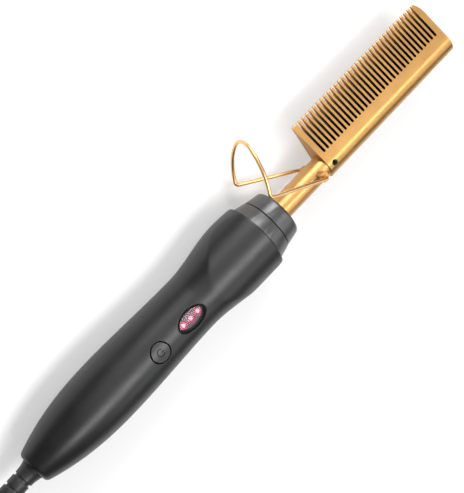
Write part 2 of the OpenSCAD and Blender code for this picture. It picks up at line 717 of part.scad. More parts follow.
// A lead from x back to the board, with its end turned up to the board's under side
module board_lead(x, y, z, r) {
    translate([0, y, z]) rod_x(r, lead_end_x, x);
    translate([lead_end_x, y, z]) sphere(r = r);
    rod_z(r, lead_end_x, y, z, board_top - board_t);
}
module heater_leads() color([0.8, 0.45, 0.3]) in_frame() {
    board_lead(heater_x, -lead_place, 0, heater_lead_r);
    board_lead(fuse_x, lead_place, 0, heater_lead_r);
    translate([0, lead_place, 0]) rod_x(heater_lead_r, fuse_x + fuse_l, heater_x);
}
sensor_w = 3.4;
sensor_under = 0.6;              // reach of the bead under its wires
sensor_over = 0.9;               // and over them
module thermistor() color([0.25, 0.2, 0.15]) in_frame() {
    bead_x = guide_end_x + sensor_gap;
    for (s = [-1, 1]) board_lead(bead_x + sensor_l / 2, s * sensor_y, sensor_z, sensor_lead_r);
    block(bead_x, bead_x + sensor_l, -sensor_w / 2, sensor_w / 2,
        sensor_z - sensor_under, sensor_z + sensor_over);
}
module thermal_fuse() color([0.85, 0.85, 0.87]) in_frame()
    translate([0, lead_place, 0]) rod_x(fuse_r, fuse_x, fuse_x + fuse_l);

// ---- electronics ----
board_bottom = board_top - board_t;
module circuit_board() color([0.05, 0.35, 0.2]) in_frame() difference() {
    block(board_x, board_x + board_l, -board_w / 2, board_w / 2, board_bottom, board_top);
    board_screw_places() translate([0, 0, board_bottom - 1])
        cylinder(r = board_screw_r + ease / 2, h = board_t + 2);
}
triac_x = board_x + 47;
triac_l = 9;
triac_tab_l = 6;
triac_w = 10;
triac_t = 4.5;
triac_tab_t = 1.3;
capacitor_gap = 8;               // distance from the button's middle to the capacitor
capacitor_l = 10.5;
capacitor_w = 6;
capacitor_h = 8;
chip_gap = 2.2;                  // distance from the switch to the chip
chip_l = 5;
chip_w = 6;
chip_h = 1.5;
// Block centred across the handle
module board_block(x, l, w, z0, z1) block(x, x + l, -w / 2, w / 2, z0, z1);
module triac() color([0.1, 0.1, 0.1]) in_frame() {
    board_block(triac_x, triac_l, triac_w, board_bottom - triac_t, board_bottom);
    board_block(triac_x + triac_l, triac_tab_l, triac_w,
        board_bottom - triac_t, board_bottom - triac_t + triac_tab_t);
}
module film_capacitor() color([0.75, 0.6, 0.1]) in_frame()
    board_block(button_x - capacitor_gap - capacitor_l, capacitor_l, capacitor_w,
        board_top, board_top + capacitor_h);
module control_chip() color([0.08, 0.08, 0.08]) in_frame()
    board_block(button_x + switch_w / 2 + chip_gap, chip_l, chip_w,
        board_top, board_top + chip_h);
module tact_switch() color([0.15, 0.15, 0.16]) in_frame() difference() {
    board_block(button_x - switch_w / 2, switch_w, switch_w, board_top, board_top + switch_h);
    rod_z(stem_r + 0.1, button_x, 0, stem_bottom - button_travel - ease, far);
}
module switch_plunger() color([0.85, 0.84, 0.8]) in_frame()
    rod_z(stem_r, button_x, 0, stem_bottom, button_flange_top - button_flange_t);
module power_button() color([0.12, 0.12, 0.13]) in_frame() {
    intersection() {
        handle_form(0);
        rod_z(button_r, button_x, 0, button_flange_top - 0.5, far);
    }
    rod_z(button_flange_r, button_x, 0, button_flange_top - button_flange_t, button_flange_top);
}
lamp_leg_w = 0.5;
lamp_leg_y = 0.9;
module lamp_places() {
    for (i = [-1:1]) translate([window_x + i * lamp_pitch, 0, 0]) children();
}
module indicator_leds() color([0.95, 0.15, 0.35]) in_frame() lamp_places() {
    translate([0, 0, lamp_bottom]) cylinder(r = lamp_r, h = lamp_top - lamp_r - lamp_bottom);
    translate([0, 0, lamp_top - lamp_r]) sphere(r = lamp_r);
    for (s = [-1, 1]) translate([s * lamp_leg_y, 0, 0])
        board_block(-lamp_leg_w / 2, lamp_leg_w, lamp_leg_w, board_top, lamp_bottom + lamp_leg_w);
}
module led_holder() color([0.07, 0.07, 0.07]) in_frame() difference() {
    block(window_x - holder_l / 2, window_x + holder_l / 2, -holder_w / 2, holder_w / 2,
        board_top, holder_top);
    lamp_places() translate([0, 0, board_top - 1]) cylinder(r = lamp_r + fit, h = far);
}
module window_bezel() color([0.05, 0.05, 0.05]) in_frame() difference() {
    union() {
        intersection() {
            handle_form(0.1);
            oval(window_x, window_a - fit, window_b - fit, bezel_bottom, far);
        }
        intersection() {
            handle_form(wall + fit);
            oval(window_x, window_a + bezel_flange, window_b + bezel_flange, bezel_bottom, far);
        }
    }
    oval(window_x, window_a - bezel_t, window_b - bezel_t, lens_bottom, far);
    oval(window_x, window_a - bezel_t - ledge, window_b - bezel_t - ledge, bezel_bottom - 1, far);
}
module led_window() color([0.25, 0.2, 0.2, 0.6]) in_frame()
    oval(window_x, window_a - bezel_t - lens_fit, window_b - bezel_t - lens_fit,
        lens_bottom, lens_top);

// ---- fasteners ----
module shell_screws() color([0.35, 0.35, 0.36]) in_frame() shell_screw_places() {
    translate([0, 0, -shell_screw_seat - shell_screw_head_t])
        cylinder(r = shell_screw_head_r, h = shell_screw_head_t);
    translate([0, 0, -shell_screw_seat - 0.1])
        cylinder(r = shell_screw_r, h = shell_screw_seat + shell_screw_bite + 0.1);
}
board_screw_head_r = 1.8;
board_screw_head_t = 1.4;
module board_screws() color([0.7, 0.7, 0.72]) in_frame() board_screw_places() {
    translate([0, 0, board_bottom - board_screw_head_t])
        cylinder(r = board_screw_head_r, h = board_screw_head_t);
    translate([0, 0, board_bottom - 0.1])
        cylinder(r = board_screw_r, h = board_t + post_bite + 0.1);
}

// ---- mains side ----
// Relief outline behind the handle: flare, smooth collar, then ring grooves on a taper
function relief_r(x) = x > -relief_collar_l
    ? relief_mid_r + (relief_base_r - relief_mid_r) * pow(1 + x / relief_collar_l, 2)
    : relief_mid_r + (relief_tip_r - relief_mid_r) * (-x - relief_collar_l)
        / (relief_l - relief_collar_l);
groove_count = floor((relief_l - relief_collar_l - relief_groove_w) / relief_pitch);
module strain_relief() color([0.08, 0.08, 0.08]) in_frame() difference() {
    union() {
        lathe(concat(
            [[0, -relief_l], [relief_r(-relief_l), -relief_l]],
            [for (i = [0:6]) let (x = -relief_collar_l + (relief_collar_l - ease) * i / 6)
                [relief_r(x), x]],
            [[0, -ease]]));
        rod_x(relief_neck_r, -1, relief_flange_x + 1);
        rod_x(relief_flange_r, relief_flange_x, relief_flange_x + relief_flange_t);
    }
    for (i = [0:groove_count]) let (x = -relief_collar_l - i * relief_pitch) difference() {
        rod_x(relief_base_r + 1, x - relief_groove_w, x);
        rod_x(relief_r(x) - relief_groove_d, x - relief_groove_w - 1, x + 1);
    }
}
mains_lead_r = 1.1;
mains_near_y = 1.6;              // half the distance of the two leads where they leave the cord
mains_far_y = 5.2;               // and beside the rear screw
mains_spread_l = 8;              // length over which they part
mains_bend_r = 4;
mains_inset = 1.5;               // distance of their ends from the board's edge
mains_x = relief_flange_x + relief_flange_t + ease;
mains_part_x = mains_x + 5;
mains_z = board_bottom - mains_lead_r - ease;
module mains_leads() color([0.35, 0.2, 0.12]) in_frame() for (s = [-1, 1]) {
    route = [
        [mains_x, s * mains_near_y, mains_z], [mains_part_x, s * mains_near_y, mains_z],
        [mains_part_x + mains_spread_l, s * mains_far_y, mains_z],
        [board_x + 2 * mains_inset, s * mains_far_y, mains_z]
    ];
    cord(rounded_route(route, [0, mains_bend_r, mains_bend_r, 0], 8), mains_lead_r, 8);
    rod_z(mains_lead_r - ease, board_x + mains_inset, s * mains_far_y, mains_z, board_bottom);
}
module cord_lead() color([0.07, 0.07, 0.07]) in_frame() on_floor() cord(lead_route, cord_r, 12);
module cord_tail() color([0.07, 0.07, 0.07]) in_frame() on_floor() cord(tail_route, cord_r, 12);
module cord_coil() color([0.07, 0.07, 0.07]) in_frame() on_floor() cord(coil_route, cord_r, 6);

// ---- plug, lying flat ----
plug_body_x = plug_x + plug_sleeve_l;
plug_corner = 4;
sleeve_over = 1.5;               // thickness of the sleeve over the cord at its thin end
sleeve_inset = 1.5;              // step from the body's face to the sleeve's thick end
module plug_body() color([0.07, 0.07, 0.07]) in_frame() on_floor() {
    translate([0, plug_y, plug_z]) lathe([
        [0, plug_x], [cord_r + sleeve_over, plug_x],
        [plug_t / 2 - sleeve_inset, plug_body_x + 1],
        [0, plug_body_x + 1]
    ]);
    translate([plug_body_x, plug_y, plug_z - plug_t / 2]) linear_extrude(plug_t) {
        translate([plug_corner, -plug_w / 2]) square([plug_l - plug_corner, plug_w]);
        translate([0, plug_corner - plug_w / 2]) square([plug_l, plug_w - 2 * plug_corner]);
        for (s = [-1, 1])
            translate([plug_corner, s * (plug_w / 2 - plug_corner)]) circle(r = plug_corner);
    }
}
blade_x = plug_body_x + plug_l;
blade_hole_r = 1.6;
blade_hole_setback = 4;
module plug_blades() color([0.8, 0.75, 0.6]) in_frame() on_floor() difference() {
    for (s = [-1, 1]) translate([blade_x, plug_y + s * blade_spacing / 2 - blade_t / 2,
        plug_z - blade_w / 2]) cube([blade_l, blade_t, blade_w]);
    translate([blade_x + blade_l - blade_hole_setback, plug_y - plug_w, plug_z]) rotate([-90, 0, 0])
        cylinder(r = blade_hole_r, h = 2 * plug_w);
}

echo(str("least gap between turns of the coil, mm: ", coil_gap));
echo(str("frame shift: ", frame_shift, "  arch reach: ", arch_reach));

handle_front_shell();
handle_rear_shell();
nose_collar();
nose_cap();
neck_bush();
neck_tube();
neck_flange();
neck_pins();
comb_head();
head_set_screw();
stand_wire();
heater_rod();
heater_insulator();
heater_leads();
thermistor();
thermal_fuse();
circuit_board();
triac();
film_capacitor();
control_chip();
tact_switch();
switch_plunger();
power_button();
indicator_leds();
led_holder();
window_bezel();
led_window();
shell_screws();
board_screws();
strain_relief();
mains_leads();
cord_lead();
cord_coil();
cord_tail();
plug_body();
plug_blades();
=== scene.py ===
"""Looks of the hot comb: surfaces, finishes, mains cord, light and camera.

Shapes are worked out in millimetres on the comb's own axes, and placed() moves them into the
part's frame, in metres.
"""

import logging
import math
from abc import ABC, abstractmethod
from dataclasses import dataclass, field
from enum import Enum

import bmesh
import bpy
import numpy as np
from mathutils import Matrix, Vector


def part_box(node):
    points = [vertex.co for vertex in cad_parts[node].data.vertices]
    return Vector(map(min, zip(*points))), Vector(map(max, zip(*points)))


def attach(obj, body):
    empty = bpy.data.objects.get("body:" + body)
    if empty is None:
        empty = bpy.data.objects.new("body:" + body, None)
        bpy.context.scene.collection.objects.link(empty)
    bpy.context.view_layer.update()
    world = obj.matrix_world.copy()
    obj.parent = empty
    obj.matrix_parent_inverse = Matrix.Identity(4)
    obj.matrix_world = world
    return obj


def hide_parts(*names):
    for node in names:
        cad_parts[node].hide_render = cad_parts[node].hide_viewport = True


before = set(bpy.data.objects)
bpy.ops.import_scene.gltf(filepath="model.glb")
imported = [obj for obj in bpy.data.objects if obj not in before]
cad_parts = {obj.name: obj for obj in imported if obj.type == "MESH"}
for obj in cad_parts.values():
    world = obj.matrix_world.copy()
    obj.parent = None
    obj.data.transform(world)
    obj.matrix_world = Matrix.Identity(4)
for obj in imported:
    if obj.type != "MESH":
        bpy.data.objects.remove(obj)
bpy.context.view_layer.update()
LOG = logging.getLogger("hot_comb")
MM = 0.001
Colour = tuple[float, float, float]
Grid = np.ndarray
Piece = bpy.types.Object
Socket = bpy.types.NodeSocket
Feed = float | tuple[float, ...] | Socket


# -------- finishes


class Paint:
    """A node material in the making, over the Object coordinates of the piece that wears it."""

    def __init__(self, name: str) -> None:
        """Makes the material.

        Args:
            name: The material's name.
        """
        self.material = bpy.data.materials.new(name)
        self.material.use_nodes = True
        self.tree = self.material.node_tree
        self.place = self.node("ShaderNodeTexCoord", {}, "Object")

    def feed(self, node: bpy.types.Node, inputs: dict[str | int, Feed]) -> None:
        """Links a socket to each input named, or sets its plain value."""
        for key, value in inputs.items():
            if isinstance(value, Socket):
                self.tree.links.new(value, node.inputs[key])
            else:
                node.inputs[key].default_value = value

    def shade(self, inputs: dict[str | int, Feed]) -> None:
        """Feeds the inputs of the material's shader."""
        self.feed(self.tree.nodes["Principled BSDF"], inputs)

    def node(
        self, kind: str, inputs: dict[str | int, Feed], output: str | int = 0, operation: str = ""
    ) -> Socket:
        """Adds a node.

        Args:
            kind: Its type.
            inputs: What goes into it.
            output: Name or place of the output wanted.
            operation: What a math node does.

        Returns:
            That output.
        """
        node = self.tree.nodes.new(kind)
        if operation:
            node.operation = operation
        self.feed(node, inputs)
        return node.outputs[output]

    def math(self, operation: str, one: Feed, two: Feed) -> Socket:
        """Combines two numbers."""
        return self.node("ShaderNodeMath", {0: one, 1: two}, "Value", operation)

    def vector(self, operation: str, *values: Feed, output: str = "Vector") -> Socket:
        """Combines vectors."""
        return self.node("ShaderNodeVectorMath", dict(enumerate(values)), output, operation)

    def noise(
        self, scale: float, detail: float = 2.0, place: Socket | None = None
    ) -> Socket:
        """A noise pattern of the given scale, in cycles per metre."""
        place = self.place if place is None else place
        inputs = {"Vector": place, "Scale": scale, "Detail": detail}
        return self.node("ShaderNodeTexNoise", inputs, "Fac")

    def spread(
        self,
        value: Feed,
        low: float = 0.0,
        high: float = 1.0,
        start: float = 0.0,
        end: float = 1.0,
    ) -> Socket:
        """Carries value from its range start to end over to the range low to high."""
        bounds = {"From Min": start, "From Max": end, "To Min": low, "To Max": high}
        return self.node("ShaderNodeMapRange", {"Value": value, **bounds}, "Result")

    def tones(self, value: Feed, stops: list[tuple[float, Colour]]) -> Socket:
        """Turns value into a colour by stops of a place and a colour, in rising order."""
        node = self.tree.nodes.new("ShaderNodeValToRGB")
        self.feed(node, {"Fac": value})
        elements = node.color_ramp.elements
        elements.remove(elements[1])
        elements[0].position, elements[0].color = stops[0][0], (*stops[0][1], 1.0)
        for position, colour in stops[1:]:
            elements.new(position).color = (*colour, 1.0)
        return node.outputs["Color"]


class Look(ABC):
    """What a piece can wear."""

    name: str

    @abstractmethod
    def paint(self) -> Paint:
        """Makes the material."""


class Surface(Enum):
    """How a finish answers light."""

    PLASTIC = "plastic"
    METAL = "metal"
    RUBBER = "rubber"
    CERAMIC = "ceramic"


@dataclass(frozen=True)
class Finish(Look):
    """A procedural finish: a colour that drifts, a roughness that drifts, and a fine relief.

    Sizes are in millimetres. drift is how far the colour leaves its base, rough_drift the same
    for roughness, grain the size of the fine relief and grain_depth its height. A brushed finish
    has its fine relief drawn out along X.
    """

    name: str
    colour: Colour
    surface: Surface
    roughness: float
    drift: float = 0.08
    drift_size: float = 12.0
    rough_drift: float = 0.06
    grain: float = 0.35
    grain_depth: float = 0.01
    brushed: bool = False
    coat: float = 0.0
    coat_roughness: float = 0.12
    specular: float = 0.5
    brush_draw: tuple[float, float, float] = (0.06, 1.0, 1.0)

    def tone(self, gain: float) -> Colour:
        """The base colour, darker or lighter by gain."""
        red, green, blue = (min(1.0, channel * gain) for channel in self.colour)
        return red, green, blue

    def paint(self) -> Paint:
        """Makes the material."""
        darker_at, lighter_at, rough_from, rough_to = 0.3, 0.7, 0.6, 1.4
        broad_detail, fine_detail, mirror, matt = 4.0, 3.0, 0.02, 1.0
        paint = Paint(self.name)
        place = paint.place
        if self.brushed:
            place = paint.node("ShaderNodeMapping", {"Vector": place, "Scale": self.brush_draw})
        broad = paint.noise(1.0 / (self.drift_size * MM), broad_detail)
        fine = paint.noise(1.0 / (self.grain * MM), fine_detail, place)
        relief = {"Height": fine, "Distance": self.grain_depth * MM, "Strength": 1.0}
        darker, lighter = self.tone(1 - self.drift), self.tone(1 + self.drift)
        smoothest = max(mirror, self.roughness - self.rough_drift)
        roughest = min(matt, self.roughness + self.rough_drift)
        both = paint.math("ADD", broad, fine)
        paint.shade(
            {
                "Base Color": paint.tones(broad, [(darker_at, darker), (lighter_at, lighter)]),
                "Metallic": 1.0 if self.surface is Surface.METAL else 0.0,
                "Roughness": paint.spread(both, smoothest, roughest, rough_from, rough_to),
                "Specular IOR Level": self.specular,
                "Coat Weight": self.coat,
                "Coat Roughness": self.coat_roughness,
                "Normal": paint.node("ShaderNodeBump", relief, "Normal"),
            }
        )
        return paint


CHARCOAL = Finish(
    "charcoal_plastic", (0.007, 0.007, 0.008), Surface.PLASTIC, 0.38,
    grain=0.5, grain_depth=0.004, specular=0.55,
)
NOSE_GREY = Finish(
    "nose_plastic", (0.024, 0.024, 0.026), Surface.PLASTIC, 0.37,
    drift=0.12, grain=0.4, grain_depth=0.003, specular=1.0,
)
BUTTON_GREY = Finish(
    "button_plastic", (0.016, 0.016, 0.017), Surface.PLASTIC, 0.38,
    grain=0.3, grain_depth=0.006, specular=0.55,
)
MARK_GREY = Finish(
    "mark_paint", (0.004, 0.004, 0.004), Surface.PLASTIC, 0.6,
    grain=0.2, grain_depth=0.002, specular=0.1,
)
BLACK_TRIM = Finish(
    "black_trim", (0.003, 0.003, 0.003), Surface.PLASTIC, 0.45,
    grain=0.3, grain_depth=0.002, specular=0.12,
)
GOLD_COMB = Finish(
    "gold_comb", (0.48, 0.262, 0.090), Surface.METAL, 0.36,
    drift=0.05, drift_size=9.0, rough_drift=0.05, grain=0.28, grain_depth=0.006,
)
GOLD_TUBE = Finish(
    "gold_tube", (0.56, 0.31, 0.115), Surface.METAL, 0.42,
    drift=0.04, rough_drift=0.04, grain=0.25, grain_depth=0.002,
)
GOLD_WIRE = Finish(
    "gold_wire", (0.88, 0.55, 0.25), Surface.METAL, 0.3,
    drift=0.05, rough_drift=0.05, grain=0.3, grain_depth=0.003,
)
BLACK_SCREW = Finish(
    "black_steel", (0.03, 0.028, 0.026), Surface.METAL, 0.35, grain=0.2, grain_depth=0.003
)
STEEL = Finish(
    "steel", (0.56, 0.57, 0.58), Surface.METAL, 0.3, grain=0.25, grain_depth=0.003, brushed=True
)
COPPER = Finish("copper", (0.70, 0.33, 0.18), Surface.METAL, 0.28, grain=0.2, grain_depth=0.002)
CERAMIC = Finish(
    "ceramic", (0.78, 0.74, 0.66), Surface.CERAMIC, 0.55, grain=0.4, grain_depth=0.01
)
BOARD_GREEN = Finish(
    "solder_resist", (0.015, 0.16, 0.07), Surface.PLASTIC, 0.3, drift=0.2, coat=0.4
)
CHIP_BLACK = Finish("chip_resin", (0.02, 0.02, 0.02), Surface.PLASTIC, 0.5, grain_depth=0.008)
CAPACITOR_YELLOW = Finish("capacitor_case", (0.62, 0.42, 0.04), Surface.PLASTIC, 0.35)
STEM_WHITE = Finish("stem_nylon", (0.74, 0.72, 0.66), Surface.PLASTIC, 0.45)
LEAD_BROWN = Finish("lead_cover", (0.20, 0.09, 0.04), Surface.RUBBER, 0.5)
RELIEF_RUBBER = Finish(
    "relief_rubber", (0.018, 0.018, 0.019), Surface.RUBBER, 0.42,
    drift=0.15, grain=0.3, grain_depth=0.006,
)
CORD_RUBBER = Finish(
    "cord_rubber", (0.016, 0.016, 0.017), Surface.RUBBER, 0.38,
    drift=0.12, grain=0.35, grain_depth=0.004,
)
BLADE_METAL = Finish(
    "blade_nickel", (0.66, 0.60, 0.47), Surface.METAL, 0.22,
    grain=0.2, grain_depth=0.002, brushed=True,
)


@dataclass(frozen=True)
class SmokedLens(Look):
    """Smoked window plastic that covers what lies under it by a share."""

    name: str = "smoked_lens"
    colour: Colour = (0.10, 0.09, 0.10)
    cover: float = 0.3
    haze_scale: float = 400.0
    smoothest: float = 0.07
    roughest: float = 0.13

    def paint(self) -> Paint:
        """Makes the material."""
        paint = Paint(self.name)
        haze = paint.noise(self.haze_scale)
        paint.shade(
            {
                "Base Color": (*self.colour, 1.0),
                "Alpha": self.cover,
                "Roughness": paint.spread(haze, self.smoothest, self.roughest),
            }
        )
        return paint


@dataclass(frozen=True)
class LampGlow(Look):
    """Lit lamps in a row: near-white at each crown, crimson round it, smoky between them.

    middle is the place of the middle lamp along X and pitch the distance between lamps. The
    distance to the nearest lamp's axis, found by wrapping X over the pitch, drives the colour.
    """

    name: str
    middle: float
    pitch: float
    base: Colour = (0.045, 0.035, 0.038)
    core: Colour = (1.0, 0.72, 0.83)
    flush: Colour = (0.62, 0.03, 0.14)
    halo: Colour = (0.36, 0.012, 0.065)
    between: Colour = (0.07, 0.060, 0.066)
    core_r: float = 0.62
    flush_r: float = 1.2
    halo_r: float = 2.1
    end_r: float = 2.6
    strength: float = 1.6
    roughness: float = 0.6
    specular: float = 0.1

    def paint(self) -> Paint:
        """Makes the material."""
        paint = Paint(self.name)
        centre = tuple(float(value) for value in placed(np.array([self.middle, 0.0, 0.0])))
        half = self.pitch / 2.0 * MM
        centred = paint.vector("SUBTRACT", paint.place, centre)
        wrapped = paint.vector("WRAP", centred, (half, 1.0, 1.0), (-half, -1.0, -1.0))
        flat = paint.vector("MULTIPLY", wrapped, (1.0, 1.0, 0.0))
        away = paint.vector("LENGTH", flat, output="Value")
        rings = (
            (self.core_r, self.core),
            (self.flush_r, self.flush),
            (self.halo_r, self.halo),
            (self.end_r, self.between),
        )
        stops = [(radius / self.end_r, colour) for radius, colour in rings]
        paint.shade(
            {
                "Base Color": (*self.base, 1.0),
                "Roughness": self.roughness,
                "Specular IOR Level": self.specular,
                "Emission Color": paint.tones(paint.spread(away, end=self.end_r * MM), stops),
                "Emission Strength": self.strength,
            }
        )
        return paint


@dataclass(frozen=True)
class SlotShade(Look):
    """The inside of the comb's slots: painted shade, dark at the root, satin gold towards the
    tips.

    Y, in metres of the frame, runs from floor_y at the slots' floor to tip_y at the tips and
    drives the colour, which stays at the painted shade up to shade_end of the way.
    """

    name: str = "slot_shade"
    floor_y: float = -0.0052
    tip_y: float = 0.0132
    painted_shade: Colour = (0.020, 0.009, 0.004)
    gold: Colour = (0.62, 0.33, 0.14)
    shade_end: float = 0.55
    mottle_scale: float = 900.0
    roughness: float = 0.5
    rough_drift: float = 0.08

    def paint(self) -> Paint:
        """Makes the material."""
        paint = Paint(self.name)
        height = paint.node("ShaderNodeSeparateXYZ", {"Vector": paint.place}, "Y")
        share = paint.spread(height, start=self.floor_y, end=self.tip_y)
        smoothest, roughest = self.roughness - self.rough_drift, self.roughness + self.rough_drift
        mottle = paint.noise(self.mottle_scale)
        paint.shade(
            {
                # painted shade: the colour runs dark at the slots' root and turns gold towards the
                # tips
                "Base Color": paint.tones(share, [(self.shade_end, self.painted_shade), (1.0, self.gold)]),
                "Metallic": 1.0,
                "Roughness": paint.spread(mottle, smoothest, roughest),
            }
        )
        return paint


_MADE: dict[str, bpy.types.Material] = {}


def material_of(look: Look) -> bpy.types.Material:
    """The material of a look, made once.

    Args:
        look: The look wanted.

    Returns:
        Its material.
    """
    if look.name not in _MADE:
        _MADE[look.name] = look.paint().material
    return _MADE[look.name]


# -------- measures and surfaces

SHIFT = np.array([-120.6, -11.1882, 18.05])
"""Millimetres from the comb's own axes (origin where the cord enters the tail) to the frame."""


def placed(points: Grid) -> Grid:
    """Turns points on the comb's own axes, in millimetres, into the frame's metres."""
    return (np.asarray(points, dtype=float) + SHIFT) * MM


def ramp(value: Grid, start: float, end: float) -> Grid:
    """Rises from 0 to 1 between start and end, level at both: 3f^2 - 2f^3."""
    share = np.clip((value - start) / (end - start), 0.0, 1.0)
    return share * share * (3.0 - 2.0 * share)


def circle(sides: int) -> Grid:
    """Equal steps round a circle, as one row of angles."""
    return np.linspace(0.0, 2.0 * np.pi, sides, endpoint=False)[None, :]


def quarter(steps: int) -> Grid:
    """Equal steps through a quarter circle, both ends included."""
    return np.linspace(0.0, np.pi / 2.0, steps)


def unit(vectors: Grid) -> Grid:
    """Scales each row to length 1."""
    return vectors / np.linalg.norm(vectors, axis=1)[:, None]


def square_to(vectors: Grid, other: Grid) -> Grid:
    """The direction of each row's part that is square to the same row of other."""
    return unit(vectors - np.sum(vectors * other, axis=1)[:, None] * other)


@dataclass(frozen=True)
class HandleProfile:
    """The handle's outer form. Places are millimetres along X from the tail."""

    length: float = 145.8
    swell_x: float = 51.0
    swell_r: float = 15.75
    tail_drop: float = 7.6
    tail_power: float = 2.4
    tail_edge: float = 1.8
    waist_x: float = 102.0
    waist_r: float = 14.45
    front_x: float = 134.0
    front_r: float = 18.05
    shoulder_drop: float = 0.65
    thumb_r: float = 18.8
    thumb_x: float = 110.0
    thumb_low: float = 15.01
    thumb_high: float = 16.0
    thumb_lead: float = 4.0
    thumb_soft: float = 0.10

    def radius(self, x: Grid) -> Grid:
        """The round form's radius at x.

        A power curve lets the tail narrow, its end edge is a quarter circle, and two ramps form
        the waist and the rise to the shoulder, which falls by a square law to the nose.
        """
        x = np.asarray(x, dtype=float)
        narrow = self.tail_drop * (np.clip(1.0 - x / self.swell_x, 0.0, 1.0)) ** self.tail_power
        into = np.clip(self.tail_edge - x, 0.0, self.tail_edge)
        edge = self.tail_edge - np.sqrt(self.tail_edge**2 - into**2)
        waist = (self.swell_r - self.waist_r) * ramp(x, self.swell_x, self.waist_x)
        rise = (self.front_r - self.waist_r) * ramp(x, self.waist_x, self.front_x)
        past = np.clip(x - self.front_x, 0.0, None) / (self.length - self.front_x)
        return self.swell_r - narrow - edge - waist + rise - self.shoulder_drop * past**2

    def thumb(self, x: Grid, angle: Grid) -> Grid:
        """Distance from the axis to the thumb facet in the direction of angle.

        The facet is a cylinder along X whose crest climbs evenly from thumb_x to the shoulder,
        so a ray from the axis meets a circle whose centre lies below it.
        """
        share = (np.asarray(x, dtype=float) - self.thumb_x) / (self.length - self.thumb_x)
        centre = self.thumb_low + (self.thumb_high - self.thumb_low) * share - self.thumb_r
        across = centre * np.cos(angle)
        return centre * np.sin(angle) + np.sqrt(self.thumb_r**2 - across**2)

    def form(self, x: Grid, angle: Grid) -> Grid:
        """The outer radius at x in the direction of angle (0 is +Y, 90 degrees is +Z).

        It is the round form, with the thumb facet taken off its front by a soft minimum.
        """
        whole = self.radius(x) + 0.0 * angle
        gap = whole - self.thumb(x, angle)
        soft = self.thumb_soft
        cut = 0.5 * (gap + np.sqrt(gap * gap + soft * soft)) - 0.5 * soft * np.exp(-(gap**2))
        reached = (np.sin(angle) > 0.0) & (np.asarray(x) > self.thumb_x - self.thumb_lead)
        return np.where(reached, whole - np.clip(cut, 0.0, None), whole)

    def front(self, x: Grid, y: Grid) -> Grid:
        """Height of the front over the axis plane at (x, y), away from the facet."""
        return np.sqrt(np.clip(self.radius(x) ** 2 - np.asarray(y, dtype=float) ** 2, 0.0, None))


PROFILE = HandleProfile()


def rounded(corners: list[tuple[float, float, float]], steps: int) -> Grid:
    """Rounds the corners of a closed outline.

    Each corner (a, b, radius) gives way to an arc that touches both of its sides; the arc runs
    as a spherical blend of the two unit vectors from its centre to the touching points. A corner
    that is almost straight gets a line.

    Args:
        corners: The outline's corners in order.
        steps: Points on each arc.

    Returns:
        The outline's points, steps for every corner.
    """
    almost_straight, least_radius, side_share = 0.02, 0.001, 0.48
    data = np.asarray(corners, dtype=float)
    point, radius = data[:, :2], np.clip(data[:, 2], least_radius, None)
    back, ahead = np.roll(point, 1, axis=0) - point, np.roll(point, -1, axis=0) - point
    room = side_share * np.minimum(np.linalg.norm(back, axis=1), np.linalg.norm(ahead, axis=1))
    back, ahead = unit(back), unit(ahead)
    between = np.arccos(np.clip(np.sum(back * ahead, axis=1), -1.0, 1.0))
    turned = np.pi - between
    straight = turned < almost_straight
    half = np.tan(np.clip(between, almost_straight, np.pi - almost_straight) / 2.0)
    reach = np.minimum(radius / half, room)
    first, last = point + back * reach[:, None], point + ahead * reach[:, None]
    share = np.linspace(0.0, 1.0, steps)[None, :, None]
    middle = (back + ahead) * (reach / np.where(straight, 1.0, 1.0 + np.cos(between)))[:, None]
    centre = point + middle
    one, two = (first - centre)[:, None, :], (last - centre)[:, None, :]
    swing = np.where(straight, 1.0, turned)[:, None, None]
    arc = (np.sin((1.0 - share) * swing) * one + np.sin(share * swing) * two) / np.sin(swing)
    line = first[:, None, :] * (1.0 - share) + last[:, None, :] * share
    arc = np.where(straight[:, None, None], line, centre[:, None, :] + arc)
    return arc.reshape(-1, 2)


def grid_faces(rows: int, columns: int, close_rows: bool, close_columns: bool) -> list[list[int]]:
    """Quads of a grid of rows by columns, each direction open or closed on itself."""
    row = np.arange(rows if close_rows else rows - 1)[:, None]
    column = np.arange(columns if close_columns else columns - 1)[None, :]
    next_row, next_column = (row + 1) % rows, (column + 1) % columns
    corners = (
        row * columns + column,
        next_row * columns + column,
        next_row * columns + next_column,
        row * columns + next_column,
    )
    return np.stack(corners, axis=-1).reshape(-1, 4).tolist()


def shade(obj: Piece, angle: float = 35.0) -> None:
    """Shades a mesh smooth, with edges sharper than angle (degrees) kept crisp."""
    mesh = obj.data
    mesh.polygons.foreach_set("use_smooth", np.ones(len(mesh.polygons), dtype=bool))
    mesh.set_sharp_from_angle(angle=math.radians(angle))
    mesh.update()


def linked(name: str, data: bpy.types.ID) -> Piece:
    """Puts an object with the given data into the scene, at the origin."""
    obj = bpy.data.objects.new(name, data)
    bpy.context.scene.collection.objects.link(obj)
    return obj


def add_mesh(name: str, points: Grid, faces: list[list[int]]) -> Piece:
    """Makes a mesh object of points on the comb's own axes.

    Args:
        name: The object's name.
        points: Its vertices, in millimetres, in any grid of rows of three.
        faces: Its faces, each a list of indices.

    Returns:
        The object, linked to the scene, shaded smooth and facing outwards.
    """
    mesh = bpy.data.meshes.new(name)
    mesh.from_pydata(placed(points.reshape(-1, 3)).tolist(), [], faces)
    mesh.validate()
    obj = linked(name, mesh)
    work = bmesh.new()
    work.from_mesh(mesh)
    bmesh.ops.recalc_face_normals(work, faces=work.faces)
    work.to_mesh(mesh)
    work.free()
    shade(obj)
    return obj


def ringed(name: str, points: Grid) -> Piece:
    """Makes a solid of rings of points, one row for each ring, with a face over each end."""
    rows, sides = points.shape[:2]
    ends = [list(range(sides)), list(range((rows - 1) * sides, rows * sides))]
    return add_mesh(name, points, grid_faces(rows, sides, False, True) + ends)


def joined(x: Grid, y: Grid, z: Grid) -> Grid:
    """Joins three grids of coordinates into one grid of points."""
    return np.stack(np.broadcast_arrays(x, y, z), axis=-1)


